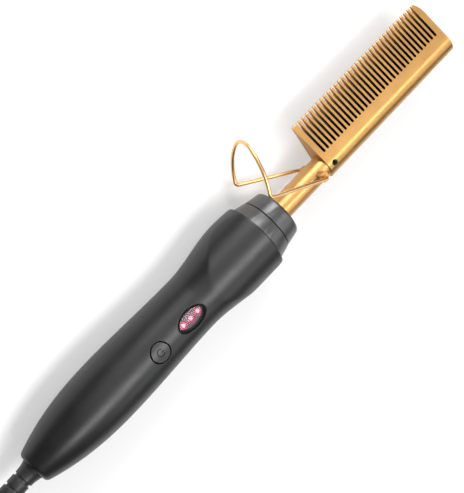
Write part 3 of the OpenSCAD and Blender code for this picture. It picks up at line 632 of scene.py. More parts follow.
def lathe(name: str, outline: Grid, sides: int) -> Piece:
    """Turns a closed outline of (x, r) about the comb's long axis.

    A point of the outline at angle a goes to (x, r cos a, r sin a); r never reaches 0, so the
    surface closes on itself both ways.
    """
    angle = circle(sides)
    x, r = outline[:, :1], outline[:, 1:2]
    points = joined(x, r * np.cos(angle), r * np.sin(angle))
    return add_mesh(name, points, grid_faces(len(outline), sides, True, True))


def swept(
    name: str, route: Grid, radius: float, sides: int, reference: Grid
) -> Piece:
    """Carries a circle along a route, with both ends closed.

    At each point the circle lies across the route's direction t; its two axes are the part of
    the reference that is square to t, and t crossed with that.
    """
    direction = unit(np.gradient(route, axis=0))
    side = square_to(reference + 0.0 * direction, direction)
    other = np.cross(direction, side)
    angle = circle(sides)[:, :, None]
    ring = np.cos(angle) * side[:, None, :] + np.sin(angle) * other[:, None, :]
    return ringed(name, route[:, None, :] + radius * ring)


def dress(obj: Piece, look: Look, body: str) -> Piece:
    """Gives a piece its look and its body."""
    obj.data.materials.clear()
    obj.data.materials.append(material_of(look))
    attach(obj, body)
    return obj


def dress_node(node: str, look: Look) -> None:
    """Gives a CAD node, left as it is, a procedural look."""
    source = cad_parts[node]
    for place in source.material_slots:
        place.material = material_of(look)
    if not source.material_slots:
        source.data.materials.append(material_of(look))


@dataclass(frozen=True)
class Softened:
    """A CAD node shown as a copy on the handle's body whose sharp edges are rounded.

    width is the rounding's width in millimetres and segments its steps. Edges sharper than angle
    are rounded, and points within merge metres and faces within flat degrees become one.
    """

    node: str
    width: float
    segments: int
    look: Look
    slot: str
    angle: float = 32.0
    merge: float = 1e-6
    flat: float = 0.6

    def build(self) -> Piece:
        """Makes the copy, which replaces the node.

        Returns:
            The copy.
        """
        LOG.info("rounding %s", self.node)
        obj = linked(f"{self.node}_look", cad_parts[self.node].data.copy())
        work = bmesh.new()
        work.from_mesh(obj.data)
        bmesh.ops.remove_doubles(work, verts=work.verts, dist=self.merge)
        flat = math.radians(self.flat)
        bmesh.ops.dissolve_limit(work, angle_limit=flat, verts=work.verts, edges=work.edges)
        bmesh.ops.recalc_face_normals(work, faces=work.faces)
        work.to_mesh(obj.data)
        work.free()
        shade(obj, self.angle)
        bevel = obj.modifiers.new("edge rounding", "BEVEL")
        bevel.width = self.width * MM
        bevel.segments = self.segments
        bevel.limit_method = "ANGLE"
        bevel.angle_limit = math.radians(self.angle)
        bevel.harden_normals = True
        bevel.use_clamp_overlap = True
        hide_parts(self.node)
        return dress(obj, self.look, "handle")


# -------- camera, light and ground


@dataclass(frozen=True)
class Viewpoint:
    """The camera that matches the photograph.

    The comb's axis is seen turned by yaw away from square on, the comb is rolled by roll about
    its own axis, and lean turns the picture. Lengths are in millimetres: the camera looks at
    aim_x on the axis from distance, moved by drop across the axis.
    """

    focal: float = 83.98
    sensor: float = 36.0
    aim_x: float = 134.24
    distance: float = 534.75
    drop: float = 4.385
    yaw: float = 12.8
    roll: float = 21.3
    lean: float = 46.21
    clip_start: float = 0.01
    clip_end: float = 10.0

    def axes(self) -> tuple[Vector, Vector, Vector, Vector]:
        """Returns the camera's right, up and back directions, and the way across the comb."""
        yaw, roll, lean = (math.radians(a) for a in (self.yaw, self.roll, self.lean))
        facing = Vector((0.0, math.sin(roll), math.cos(roll)))
        across = Vector((0.0, -math.cos(roll), math.sin(roll)))
        along = Vector((1.0, 0.0, 0.0))
        axis = math.cos(yaw) * along + math.sin(yaw) * facing
        back = -math.sin(yaw) * along + math.cos(yaw) * facing
        right = math.cos(lean) * axis + math.sin(lean) * across
        up = math.sin(lean) * axis - math.cos(lean) * across
        return right, up, back, across

    def build(self) -> None:
        """Makes the camera and makes it the scene's own."""
        right, up, back, across = self.axes()
        place = Vector((self.aim_x, 0.0, 0.0)) + self.distance * back - self.drop * across
        data = bpy.data.cameras.new("camera")
        data.lens = self.focal
        data.sensor_width = self.sensor
        data.clip_start = self.clip_start
        data.clip_end = self.clip_end
        camera = linked("camera", data)
        turn = Matrix((right, up, back)).transposed().to_4x4()
        camera.matrix_world = Matrix.Translation(Vector(placed(np.array(place)))) @ turn
        bpy.context.scene.camera = camera


@dataclass(frozen=True)
class Lamp:
    """A soft rectangular lamp, placed by the comb's long axis and the camera's view.

    Seen from the comb, side is its angle from the camera towards the lower right, and tilt its
    angle towards the comb's far end, in degrees. The distance and sizes are in metres; length
    lies along the comb, and radiance is how bright its face is.
    """

    name: str
    side: float
    tilt: float
    length: float
    width: float
    radiance: float
    distance: float = 1.2

    def build(self, view: Viewpoint, target: Vector) -> None:
        """Makes the lamp.

        Args:
            view: The viewpoint whose axes place the lamp.
            target: The point it is aimed at, in the frame.
        """
        _, _, back, across = view.axes()
        along = back.cross(across)
        side, tilt = math.radians(self.side), math.radians(self.tilt)
        level = math.sin(side) * across + math.cos(side) * back
        way = math.sin(tilt) * along + math.cos(tilt) * level
        upright = math.cos(tilt) * along - math.sin(tilt) * level
        data = bpy.data.lights.new(self.name, "AREA")
        data.shape = "RECTANGLE"
        data.size = self.width
        data.size_y = self.length
        data.energy = self.radiance * math.pi * self.length * self.width
        lamp = linked(self.name, data)
        turn = Matrix((upright.cross(way), upright, way)).transposed().to_4x4()
        lamp.matrix_world = Matrix.Translation(target + self.distance * way) @ turn


@dataclass
class Studio:
    """A pale studio: a floor that keeps the comb's shadow, soft lamps and a dim surround.

    floor_size and floor_drop are in metres; floor_glow lifts the floor where it is looked at,
    straight or in a mirror.
    """

    view: Viewpoint = field(default_factory=Viewpoint)
    floor_size: float = 6.0
    floor_drop: float = 0.0002
    floor_colour: Colour = (0.68, 0.68, 0.68)
    floor_roughness: float = 0.9
    floor_glow: float = 0.25
    surround: float = 0.1
    lamps: tuple[Lamp, ...] = (
        Lamp("key", 37.0, 14.0, 1.4, 0.36, 7.8),
        Lamp("right", 74.0, 25.0, 1.2, 0.4, 2.2),
        Lamp("overhead", -4.0, 25.0, 1.2, 1.1, 1.0),
        Lamp("nose lamp", -37.0, 42.0, 0.5, 0.5, 13.0),
    )

    def build(self) -> None:
        """Makes the floor, the surround and the lamps."""
        self._floor()
        self._surround()
        target = Vector(placed(np.array([self.view.aim_x, 0.0, 0.0])))
        for lamp in self.lamps:
            lamp.build(self.view, target)

    def _floor(self) -> None:
        """A flat square of white paint under the comb."""
        half, low = self.floor_size / 2.0, -self.floor_drop
        corners = [(-half, -half, low), (half, -half, low), (half, half, low), (-half, half, low)]
        mesh = bpy.data.meshes.new("floor")
        mesh.from_pydata(corners, [], [(0, 1, 2, 3)])
        floor = linked("floor", mesh)
        paint = Finish(
            "floor_paint", self.floor_colour, Surface.CERAMIC, self.floor_roughness, drift=0.0
        ).paint()
        path = paint.tree.nodes.new("ShaderNodeLightPath").outputs
        seen = path["Is Camera Ray"]
        for ray in ("Is Glossy Ray", "Is Transmission Ray"):
            seen = paint.math("MAXIMUM", seen, path[ray])
        glow = paint.math("MULTIPLY", seen, self.floor_glow)
        paint.shade({"Emission Color": (1.0, 1.0, 1.0, 1.0), "Emission Strength": glow})
        mesh.materials.append(paint.material)

    def _surround(self) -> None:
        """A plain grey world, the same to the camera and to what it lights."""
        world = bpy.data.worlds.new("surround")
        world.use_nodes = True
        background = world.node_tree.nodes["Background"]
        background.inputs["Strength"].default_value = self.surround
        background.inputs["Color"].default_value = (1.0, 1.0, 1.0, 1.0)
        bpy.context.scene.world = world
        bpy.context.scene.view_settings.view_transform = "Standard"


# -------- cord and plug


PLUG = (
    Softened("plug_body", 1.6, 4, RELIEF_RUBBER, "cord"),
    Softened("plug_blades", 0.3, 2, BLADE_METAL, "plug_metal"),
)


@dataclass
class MainsCord:
    """The free mains cord, from the relief over a four-layer coil to the plug.

    Lengths are millimetres on the comb's own axes, heights over the floor. lead_swing,
    lead_rest, tail_swing and tail_sink are the shares of their stretch at which the lead starts
    to swing aside and comes to rest, and the tail starts to swing and to sink.
    """

    radius: float = 3.0
    floor: float = -18.05
    relief_l: float = 42.0
    lead_l: float = 80.0
    lead_shift: float = 25.5
    lead_swing: float = 0.15
    lead_rest: float = 0.85
    coil_r: float = 37.0
    pitch: float = 6.5
    layer: float = 6.5
    layers: int = 4
    layer_turns: float = 2.125
    climb_turns: float = 0.5
    straight: float = 6.0
    end_step: float = 1.0 / 14.0
    tail_l: float = 52.0
    tail_shift: float = 9.0
    tail_swing: float = 0.25
    tail_sink: float = 0.12
    plug_height: float = 8.5
    lead_points: int = 57
    coil_points: int = 817
    tail_points: int = 43
    round_steps: int = 6

    def lead(self) -> Grid:
        """The lead: it sinks to the floor first and swings aside last; its ends are straight."""
        share = np.linspace(0.0, 1.0, self.lead_points)
        sink = ramp(share, self.end_step, self.lead_rest)
        return joined(
            -self.relief_l - self.lead_l * share,
            -self.lead_shift * ramp(share, self.lead_swing, 1.0 - self.end_step),
            -self.floor + (self.radius + self.floor) * sink,
        )

    def coil(self, start: Grid) -> Grid:
        """The coil's centreline.

        The angle falls steadily. The radius falls and grows by one pitch a turn, turning back
        after each layer's turns, and there the cord climbs one layer by a ramp.
        """
        turn = np.linspace(0.0, self.layers * self.layer_turns, self.coil_points)
        angle = np.radians(-90.0 - 360.0 * turn)
        phase = np.mod(turn, 2.0 * self.layer_turns)
        radius = self.coil_r - self.pitch * np.minimum(phase, 2.0 * self.layer_turns - phase)
        half = self.climb_turns / 2.0
        steps = np.arange(1, self.layers)[:, None] * self.layer_turns
        climb = self.layer * ramp(turn[None, :] - steps, -half, half).sum(axis=0)
        centre = start + np.array([-self.straight, self.coil_r, 0.0])
        return centre + joined(radius * np.cos(angle), radius * np.sin(angle), climb)

    def tail(self, start: Grid) -> Grid:
        """The tail: it leaves the coil's top, sinks to the plug and swings back to it."""
        share = np.linspace(0.0, 1.0, self.tail_points)
        sink = ramp(share, self.tail_sink, 1.0 - self.end_step)
        return joined(
            start[0] + self.tail_l * share,
            start[1] - self.tail_shift * ramp(share, self.tail_swing, 1.0 - self.end_step),
            start[2] + (self.plug_height - start[2]) * sink,
        )

    def route(self) -> Grid:
        """All of the cord's centreline, in the frame's metres."""
        lead = self.lead()
        coil = self.coil(lead[-1])
        tail = self.tail(coil[-1] + np.array([self.straight, 0.0, 0.0]))
        whole = np.concatenate([lead, coil, tail])
        whole[:, 2] += self.floor
        return placed(whole)

    def build(self) -> None:
        plug = [piece.build() for piece in PLUG]
        route = self.route()
        data = bpy.data.curves.new("mains_cord", "CURVE")
        data.dimensions = "3D"
        data.bevel_depth = self.radius * MM
        data.bevel_resolution = self.round_steps
        data.use_fill_caps = True
        line = data.splines.new("POLY")
        line.points.add(len(route) - 1)
        line.points.foreach_set("co", np.c_[route, np.ones(len(route))].ravel())
        obj = linked("mains_cord", data)
        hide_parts("cord_lead", "cord_coil", "cord_tail")
        dress(obj, CORD_RUBBER, "handle")


# -------- handle


def carved(obj: Piece, cutters: list[Piece]) -> None:
    """Cuts closed shapes out of a closed mesh, for good, and removes them."""
    for cutter in cutters:
        cut = obj.modifiers.new("cut", "BOOLEAN")
        cut.operation = "DIFFERENCE"
        cut.solver = "EXACT"
        cut.object = cutter
    graph = bpy.context.evaluated_depsgraph_get()
    mesh = bpy.data.meshes.new_from_object(obj.evaluated_get(graph))
    obj.modifiers.clear()
    obj.data = mesh
    for cutter in cutters:
        bpy.data.objects.remove(cutter, do_unlink=True)


@dataclass(frozen=True)
class Well:
    """An oval or round opening in the handle whose edge is softly rounded all along.

    floor is the height of its lower end over the axis. side is 1 for the front and -1 for the
    back of the handle. wall_ring is the depth of the wall's upper ring, in edge widths. The
    cutter ends in a collar, collar_w wider than the edge and collar_h over the surface, that
    goes straight up to the height far.
    """

    x: float
    y: float
    half_length: float
    half_width: float
    floor: float
    edge: float
    side: int = 1
    wall_ring: float = 1.5
    collar_w: float = 0.03
    collar_h: float = 0.1
    far: float = 30.0
    sides: int = 96
    edge_steps: int = 6

    def build(self) -> Piece:
        """Makes the cutter.

        Its wall rises to one edge width under the surface. There a quarter circle that follows
        the surface leads outwards to the collar.
        """
        angle, sweep = circle(self.sides), quarter(self.edge_steps)[:, None]
        collar = [[self.edge + self.collar_w]]
        out = np.concatenate([[[0.0]] * 2, self.edge * (1.0 - np.cos(sweep)), collar * 2])
        x = self.x + (self.half_length + out) * np.cos(angle)
        y = self.y + (self.half_width + out) * np.sin(angle)
        surface = PROFILE.front(x, y)
        rise = np.concatenate([self.edge * (np.sin(sweep) - 1.0), [[self.collar_h]]])
        level = np.ones((1, self.sides))
        height = np.concatenate(
            [self.floor * level, surface[1:2] - self.wall_ring * self.edge, surface[2:-1] + rise]
            + [self.far * level]
        )
        return ringed("well", joined(x, y, self.side * height))


@dataclass
class HandleShells:
    """The two moulded halves of the handle, with their openings. Sizes in millimetres."""

    wall: float = 2.2
    tail_wall: float = 4.7
    tail_hole: float = 5.65
    least_inside: float = 5.7
    shoulder_edge: float = 0.5
    seam_edge: float = 0.22
    seam_angle: float = 0.016
    seam_steps: tuple[float, ...] = (0.0, 0.12, 0.35, 0.65, 1.0)
    tail_stations: int = 9
    body_stations: int = 190
    edge_stations: int = 7
    middle_angles: int = 117
    crisp_angle: float = 32.0
    button: Well = Well(74.0, 0.0, 5.15, 5.15, 8.5, 0.12)
    window: Well = Well(94.7, 0.0, 8.2, 4.9, 3.6, 0.3)
    screws: tuple[Well, ...] = (
        Well(26.0, 0.0, 3.0, 3.0, 6.0, 0.25, -1),
        Well(126.0, 9.5, 3.0, 3.0, 6.0, 0.25, -1),
        Well(126.0, -9.5, 3.0, 3.0, 6.0, 0.25, -1),
    )

    def stations(self) -> Grid:
        """Places along X: close together round the tail's edge and the shoulder's."""
        tail_edge, end = PROFILE.tail_edge, PROFILE.length - self.shoulder_edge
        tail = tail_edge * (1.0 - np.cos(quarter(self.tail_stations)))
        body = np.linspace(tail_edge, end, self.body_stations)[1:]
        edge = self.shoulder_edge * np.sin(quarter(self.edge_stations))[1:]
        return np.concatenate([tail, body, end + edge])

    def angles(self, side: int) -> Grid:
        """Angles across one half, from seam to seam, close together at both."""
        near = self.seam_angle * np.array(self.seam_steps)
        middle = np.linspace(self.seam_angle, np.pi - self.seam_angle, self.middle_angles)[1:-1]
        return side * np.concatenate([near, middle, np.pi - near[::-1]])

    def shell(self, name: str, side: int) -> Piece:
        """One half: the outer form, drawn in at the seam and the shoulder, and its inside.

        At (x, angle) the outside is the handle's form less two quarter-circle edge roundings,
        the inside is the form less the wall, and both meet at the shoulder and the tail.
        """
        x, angle = self.stations(), self.angles(side)
        form = PROFILE.form(x[:, None], angle[None, :])
        front = np.clip(self.shoulder_edge - (PROFILE.length - x), 0.0, None)[:, None]
        shoulder = self.shoulder_edge - np.sqrt(self.shoulder_edge**2 - front**2)
        apart = np.minimum(np.abs(angle), np.pi - np.abs(angle))[None, :] * form
        seam = np.clip(self.seam_edge - apart, 0.0, None)
        seam = self.seam_edge - np.sqrt(self.seam_edge**2 - seam**2)
        outside = form - shoulder - seam
        deep = np.clip(x, self.tail_wall, None)
        inside = PROFILE.form(deep[:, None], angle[None, :]) - self.wall
        inside = np.clip(inside, self.least_inside, None)
        hole = np.full((1, len(angle)), self.tail_hole)
        radius = np.concatenate([hole, outside, inside[::-1], hole])
        place = np.concatenate([[0.0], x, deep[::-1], [self.tail_wall]])[:, None]
        points = joined(place, radius * np.cos(angle), radius * np.sin(angle))
        rows, columns = radius.shape
        seams = [list(range(first, rows * columns, columns)) for first in (0, columns - 1)]
        return add_mesh(name, points, grid_faces(rows, columns, True, False) + seams)

    def build(self) -> None:
        """Makes both halves and cuts their openings."""
        front = self.shell("front_half", 1)
        carved(front, [self.button.build(), self.window.build()])
        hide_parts("handle_front_shell")
        rear = self.shell("rear_half", -1)
        carved(rear, [screw.build() for screw in self.screws])
        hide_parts("handle_rear_shell")
        for half in (front, rear):
            shade(half, self.crisp_angle)
            dress(half, CHARCOAL, "handle")


NOSE = tuple(Softened(node, 0.3, 3, NOSE_GREY, "nose") for node in ("nose_collar", "nose_cap"))


# -------- neck, comb and stand


NECK = Softened("neck_tube", 0.25, 2, GOLD_TUBE, "gold_metal")
SET_SCREW = Softened("head_set_screw", 0.12, 2, BLACK_SCREW, "dark_steel")


@dataclass
class Comb:
    """The slotted block, whose slots wear painted shade. Sizes in millimetres.

    A face lies in a slot if it is between the first and last slot, above their floor and below
    the tips, and looks along the comb or, near the floor, towards the tips.
    """

    block: Softened = Softened("comb_head", 0.14, 2, GOLD_COMB, "gold_comb")
    slots_start: float = 2.8
    slots_end: float = 2.7
    slot_floor: float = 6.0
    floor_margin: float = 0.1
    floor_band: float = 1.5
    tip_margin: float = 1.0
    most_upright: float = 0.5
    least_along: float = 0.3

    def build(self) -> None:
        """Makes the block and shades its slots."""
        mesh = self.block.build().data
        normal, centre = np.empty((2, len(mesh.polygons) * 3))
        mesh.polygons.foreach_get("normal", normal)
        mesh.polygons.foreach_get("center", centre)
        normal, centre = normal.reshape(-1, 3), centre.reshape(-1, 3) / MM - SHIFT
        low, high = (np.array(corner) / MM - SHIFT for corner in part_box("comb_head"))
        along, out = centre[:, 0], centre[:, 1]
        inside = (along > low[0] + self.slots_start) & (along < high[0] - self.slots_end)
        inside &= (out > self.slot_floor - self.floor_margin) & (out < high[1] - self.tip_margin)
        inside &= np.abs(normal[:, 2]) < self.most_upright
        near_floor = out < self.slot_floor + self.floor_band
        inside &= (np.abs(normal[:, 0]) > self.least_along) | near_floor
        # the faces inside the slots wear painted shade, dark at the root
        mesh.materials.append(material_of(SlotShade()))
        mesh.polygons.foreach_set("material_index", inside.astype(np.int32))
        LOG.info("comb slots: %d faces shaded", int(inside.sum()))


@dataclass
class Stand:
    """The folding support: one bent wire whose ends enter the neck's ears. Millimetres."""

    wire_r: float = 0.95
    pivot: tuple[float, float, float] = (187.4, 0.0, 0.0)
    roll: float = 10.2
    open_angle: float = 30.7
    arch_angle: float = 83.6
    leg_l: float = 34.5
    pivot_spread: float = 11.8
    bend_spread: float = 15.4
    bend_r: float = 2.0
    arch_h: float = 24.5
    top_r: float = 9.5
    end_reach: float = 5.0
    ease: float = 0.3
    sides: int = 28
    bend_steps: int = 14
    least_step: float = 1e-4

    def directions(self) -> tuple[Grid, Grid, Grid]:
        """Unit vectors along the pin, along the legs and up the arch."""
        roll, opened, turn = np.radians([self.roll, self.open_angle, self.arch_angle])
        pin = np.array([0.0, -np.sin(roll), np.cos(roll)])
        up = np.array([0.0, np.cos(roll), np.sin(roll)])
        along = np.array([1.0, 0.0, 0.0])
        leg = -np.cos(opened) * along + np.sin(opened) * up
        square = np.sin(opened) * along + np.cos(opened) * up
        return pin, leg, np.cos(turn) * leg + np.sin(turn) * square

    def corners(self) -> tuple[Grid, Grid]:
        """The wire's corner points and the bend radius at each.

        The flanks of the arch are arcs that meet the legs' line and the round top smoothly; with
        rise a and inset b their radius is the top's plus (a^2 + b^2) / 2b.
        """
        foot = self.bend_r * np.tan(np.radians(self.arch_angle) / 2.0) + self.ease
        rise, inset = self.arch_h - foot - self.top_r, self.bend_spread - self.top_r
        over = (rise**2 + inset**2) / (2.0 * inset)
        flank_r, flank = self.top_r + over, np.arcsin(rise / over)
        flank_l = flank_r * np.tan(flank / 2.0)
        apex_l = self.top_r * np.tan(np.pi / 2.0 - flank)
        up_flank = foot + flank_l
        up_apex = up_flank + (flank_l + apex_l) * np.cos(flank)
        half = [
            (0.0, 0.0, self.end_reach),
            (0.0, 0.0, self.pivot_spread),
            (self.leg_l, 0.0, self.bend_spread),
            (self.leg_l, up_flank, self.bend_spread),
        ]
        other = [(leg, up, -side) for leg, up, side in reversed(half)]
        local = np.array([*half, (self.leg_l, up_apex, 0.0), *other])
        pin, leg, arch = self.directions()
        bends = [0.0, self.bend_r, self.bend_r, flank_r]
        bend = np.array([*bends, self.top_r, *reversed(bends)])
        return np.array(self.pivot) + local @ np.stack([leg, arch, pin]), bend

    def route(self) -> Grid:
        """The wire's centreline: straight runs joined by arcs that touch both neighbours."""
        point, bend = self.corners()
        before, after = unit(point[1:-1] - point[:-2]), unit(point[2:] - point[1:-1])
        turn = np.arccos(np.clip(np.sum(before * after, axis=1), -1.0, 1.0))
        inward = square_to(after, before)
        radius = bend[1:-1, None]
        centre = point[1:-1] - radius * np.tan(turn / 2.0)[:, None] * before + radius * inward
        share = np.linspace(0.0, 1.0, self.bend_steps)[None, :, None] * turn[:, None, None]
        arcs = centre[:, None, :] + radius[:, None, :] * (
            np.sin(share) * before[:, None, :] - np.cos(share) * inward[:, None, :]
        )
        line = np.concatenate([point[:1], arcs.reshape(-1, 3), point[-1:]])
        apart = np.linalg.norm(np.diff(line, axis=0), axis=1) > self.least_step
        return line[np.concatenate([[True], apart])]

    def build(self) -> None:
        """Makes the wire."""
        _, leg, arch = self.directions()
        wire = swept("stand_wire_look", self.route(), self.wire_r, self.sides, leg - arch)
        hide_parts("stand_wire")
        dress(wire, GOLD_WIRE, "stand")


# -------- button, window and lamps


@dataclass
class Button:
    """The round push button, flush with the handle, with a raised power mark.

    Sizes are millimetres; centre_r is the radius of the innermost ring. A stroke of the mark
    stands mark_rise over the button up to mark_shoulder of half its width, and its edges sink
    into the button by mark_sink.
    """

    x: float = 74.0
    radius: float = 4.7
    centre_r: float = 0.05
    edge: float = 0.25
    flange_r: float = 6.0
    flange_top: float = 9.3
    flange_bottom: float = 8.3
    flange_edge: float = 0.15
    sides: int = 96
    top_rings: int = 16
    edge_rings: int = 8
    mark_r: float = 1.7
    mark_w: float = 0.42
    mark_rise: float = 0.04
    mark_sink: float = 0.05
    mark_shoulder: float = 0.8
    mark_opening: float = 0.62
    bar_start: float = 0.35
    bar_end: float = 1.9
    ring_points: int = 60
    bar_points: int = 9

    def cap(self) -> Piece:
        """The button.

        Rings run out from the middle over the handle's own form, over a quarter-circle edge and
        down the wall to the flange, whose ring closes under it.
        """
        angle, sweep = circle(self.sides), quarter(self.edge_rings)[1:]
        flat_r = self.radius - self.edge
        top = np.linspace(self.centre_r, flat_r, self.top_rings)
        below = np.array(
            [
                (self.radius, self.flange_top),
                (self.flange_r - self.flange_edge, self.flange_top),
                (self.flange_r, self.flange_top - self.flange_edge),
                (self.flange_r, self.flange_bottom),
                (self.centre_r, self.flange_bottom),
            ]
        )
        reach = np.concatenate([top, flat_r + self.edge * np.sin(sweep), below[:, 0]])[:, None]
        x, y = self.x + reach * np.cos(angle), reach * np.sin(angle)
        drop = np.concatenate([0.0 * top, self.edge * (1.0 - np.cos(sweep))])[:, None]
        over = PROFILE.front(x[: len(drop)], y[: len(drop)]) - drop
        height = np.concatenate([over, below[:, 1:] + 0.0 * angle])
        return ringed("power_button_look", joined(x, y, height))

    def stroke(self, name: str, line: Grid) -> Piece:
        """A thin raised band along a flat line of (x, y), laid over the button's top."""
        direction = unit(np.gradient(line, axis=0))
        side = np.stack([-direction[:, 1], direction[:, 0]], axis=-1)
        shoulder, sink = self.mark_shoulder, self.mark_sink
        across = np.array([-1.0, -shoulder, 0.0, shoulder, 1.0, 0.0]) * self.mark_w / 2.0
        rise = np.array([-sink, *[self.mark_rise] * 3, -sink, -2.0 * sink])
        flat = line[:, None, :] + across[None, :, None] * side[:, None, :]
        x, y = flat[..., 0], flat[..., 1]
        return ringed(name, joined(x, y, PROFILE.front(x, y) + rise[None, :]))

    def build(self) -> None:
        """Makes the button and its mark: a ring open towards the comb, and a bar in the gap."""
        cap = self.cap()
        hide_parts("power_button")
        dress(cap, BUTTON_GREY, "button")
        angle = np.linspace(self.mark_opening, 2.0 * np.pi - self.mark_opening, self.ring_points)
        bar = np.linspace(self.x + self.bar_start, self.x + self.bar_end, self.bar_points)
        lines = {
            "power_mark_ring": (self.x + self.mark_r * np.cos(angle), self.mark_r * np.sin(angle)),
            "power_mark_bar": (bar, 0.0 * bar),
        }
        for name, line in lines.items():
            dress(self.stroke(name, np.stack(line, axis=-1)), MARK_GREY, "button")


@dataclass
class LampWindow:
    """The oval window: black rim, smoked lens, three lit lamps in their holder. Millimetres.

    The lens sinks by crown from its middle to lens_flat of the way out and then over its edge;
    the film under it lies film_gap lower and is film_t thick.
    """

    rim: Softened = Softened("window_bezel", 0.3, 2, BLACK_TRIM, "dark_plastic")
    x: float = 94.7
    half_length: float = 8.15
    half_width: float = 4.85
    rim_w: float = 0.8
    lens_top: float = 13.5
    lens_t: float = 1.2
    lens_gap: float = 0.05
    lens_flat: float = 0.96
    lens_edge: tuple[tuple[float, float], ...] = ((0.985, 0.12), (1.0, 0.22))
    lens_rings: int = 12
    crown: float = 0.10
    ledge: float = 0.8
    film_gap: float = 0.05
    film_t: float = 0.15
    film_ring: float = 0.5
    middle_share: float = 0.02
    lamp_pitch: float = 4.65
    sides: int = 96

    def plate(
        self, name: str, inset: float, share: Grid, height: Grid
    ) -> Piece:
        """An oval plate of rings, each at its share of the oval's reach and at its height.

        Args:
            name: The object's name.
            inset: How far the plate stays inside the window's outline.
            share: The share of each ring.
            height: The height of each ring over the axis.

        Returns:
            The plate.
        """
        angle = circle(self.sides)
        x = self.x + share[:, None] * (self.half_length - inset) * np.cos(angle)
        y = share[:, None] * (self.half_width - inset) * np.sin(angle)
        return ringed(name, joined(x, y, height[:, None]))

    def lens(self) -> Piece:
        """The lens: its top falls from the crown by a square law, and its edge is rounded."""
        top = np.linspace(self.middle_share, self.lens_flat, self.lens_rings)
        edge = np.array(self.lens_edge)
        share = np.concatenate([top, edge[:, 0], [1.0, self.middle_share]])
        drop = np.concatenate([self.crown * top**2, edge[:, 1], [self.lens_t] * 2])
        return self.plate("lens_look", self.rim_w + self.lens_gap, share, self.lens_top - drop)

    def film(self) -> Piece:
        """The thin film under the lens on which the lamps show as glowing spots."""
        out = np.array([self.middle_share, self.film_ring, 1.0])
        under = self.lens_top - self.lens_t - self.film_gap
        height = np.array([under] * 3 + [under - self.film_t] * 3)
        share = np.concatenate([out, out[::-1]])
        return self.plate("lamp_film", self.rim_w + self.ledge, share, height)

    def build(self) -> None:
        """Makes the rim and the lens, and lights the lamps."""
        self.rim.build()
        lens = self.lens()
        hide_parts("led_window")
        dress(lens, SmokedLens(), "handle")
        glow = LampGlow("lamp_glow", self.x, self.lamp_pitch)
        dress(self.film(), glow, "handle")
        dress_node("led_holder", BLACK_TRIM)
        dress_node("indicator_leds", glow)


# -------- relief and fasteners


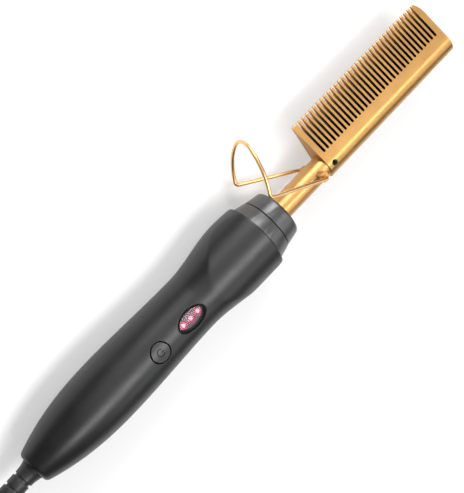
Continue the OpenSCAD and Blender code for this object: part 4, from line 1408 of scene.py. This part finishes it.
@dataclass
class StrainRelief:
    """The ribbed sleeve at the tail, turned in one piece with its neck and flange.

    Sizes are millimetres; the edges' radii are edge on the ribs, floor_edge in the grooves,
    flange_edge on the flange and flare_edge along the collar's flare.
    """

    length: float = 42.0
    base_r: float = 5.7
    mid_r: float = 4.7
    tip_r: float = 4.0
    collar_l: float = 6.0
    pitch: float = 5.65
    groove_w: float = 1.2
    groove_d: float = 0.8
    edge: float = 0.22
    floor_edge: float = 0.15
    flange_edge: float = 0.3
    flare_edge: float = 0.5
    flare_start: float = 1.0
    flare_end: float = 0.8
    flare_points: int = 7
    ease: float = 0.3
    neck_r: float = 5.6
    flange_x: float = 5.0
    flange_r: float = 7.2
    flange_t: float = 2.5
    bore: float = 2.6
    sides: int = 96
    corner_steps: int = 5

    def radius(self, x: float) -> float:
        """Outer radius at x: a square law on the collar, a straight taper behind it."""
        if x > -self.collar_l:
            return self.mid_r + (self.base_r - self.mid_r) * (1.0 + x / self.collar_l) ** 2
        share = (-x - self.collar_l) / (self.length - self.collar_l)
        return self.mid_r + (self.tip_r - self.mid_r) * share

    def outline(self) -> Grid:
        """The closed outline: neck and flange, collar, ribs and grooves, bore."""
        inner_end = self.flange_x + self.flange_t
        corners = [
            (inner_end, self.bore, 0.0),
            (inner_end, self.flange_r, self.flange_edge),
            (self.flange_x, self.flange_r, self.flange_edge),
            (self.flange_x, self.neck_r, 0.0),
            (-self.ease, self.neck_r, 0.0),
            (-self.ease, self.base_r, self.edge),
        ]
        first, last = -self.ease - self.flare_start, -self.collar_l + self.flare_end
        flare = np.linspace(first, last, self.flare_points)
        corners += [(float(x), self.radius(x), self.flare_edge) for x in flare]
        start = -self.collar_l
        while start - self.groove_w > -self.length:
            floor_r, end = self.radius(start) - self.groove_d, start - self.groove_w
            corners += [
                (start, self.radius(start), self.edge),
                (start, floor_r, self.floor_edge),
                (end, floor_r, self.floor_edge),
                (end, self.radius(end), self.edge),
            ]
            start -= self.pitch
        corners += [(-self.length, self.tip_r, self.edge), (-self.length, self.bore, 0.0)]
        return rounded(corners, self.corner_steps)

    def build(self) -> None:
        """Makes the sleeve."""
        sleeve = lathe("relief_look", self.outline(), self.sides)
        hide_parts("strain_relief")
        dress(sleeve, RELIEF_RUBBER, "relief")


SHELL_SCREWS = Softened("shell_screws", 0.3, 2, BLACK_SCREW, "dark_steel")

INNER_LOOKS = {
    "neck_bush": CERAMIC,
    "neck_flange": STEEL,
    "neck_pins": STEEL,
    "heater_rod": CERAMIC,
    "heater_insulator": CERAMIC,
    "heater_leads": COPPER,
    "thermistor": CHIP_BLACK,
    "thermal_fuse": STEEL,
    "circuit_board": BOARD_GREEN,
    "triac": CHIP_BLACK,
    "film_capacitor": CAPACITOR_YELLOW,
    "control_chip": CHIP_BLACK,
    "tact_switch": CHIP_BLACK,
    "switch_plunger": STEM_WHITE,
    "board_screws": STEEL,
    "mains_leads": LEAD_BROWN,
}


def main() -> None:
    """Builds the scene in order."""
    logging.basicConfig(level=logging.INFO)
    view = Viewpoint()
    parts = (
        view,
        MainsCord(),
        Studio(view),
        HandleShells(),
        *NOSE,
        NECK,
        Comb(),
        SET_SCREW,
        Stand(),
        Button(),
        LampWindow(),
        StrainRelief(),
        SHELL_SCREWS,
    )
    for part in parts:
        LOG.info("building %s", type(part).__name__)
        part.build()
    for node, look in INNER_LOOKS.items():
        dress_node(node, look)


if __name__ == "__main__":
    main()
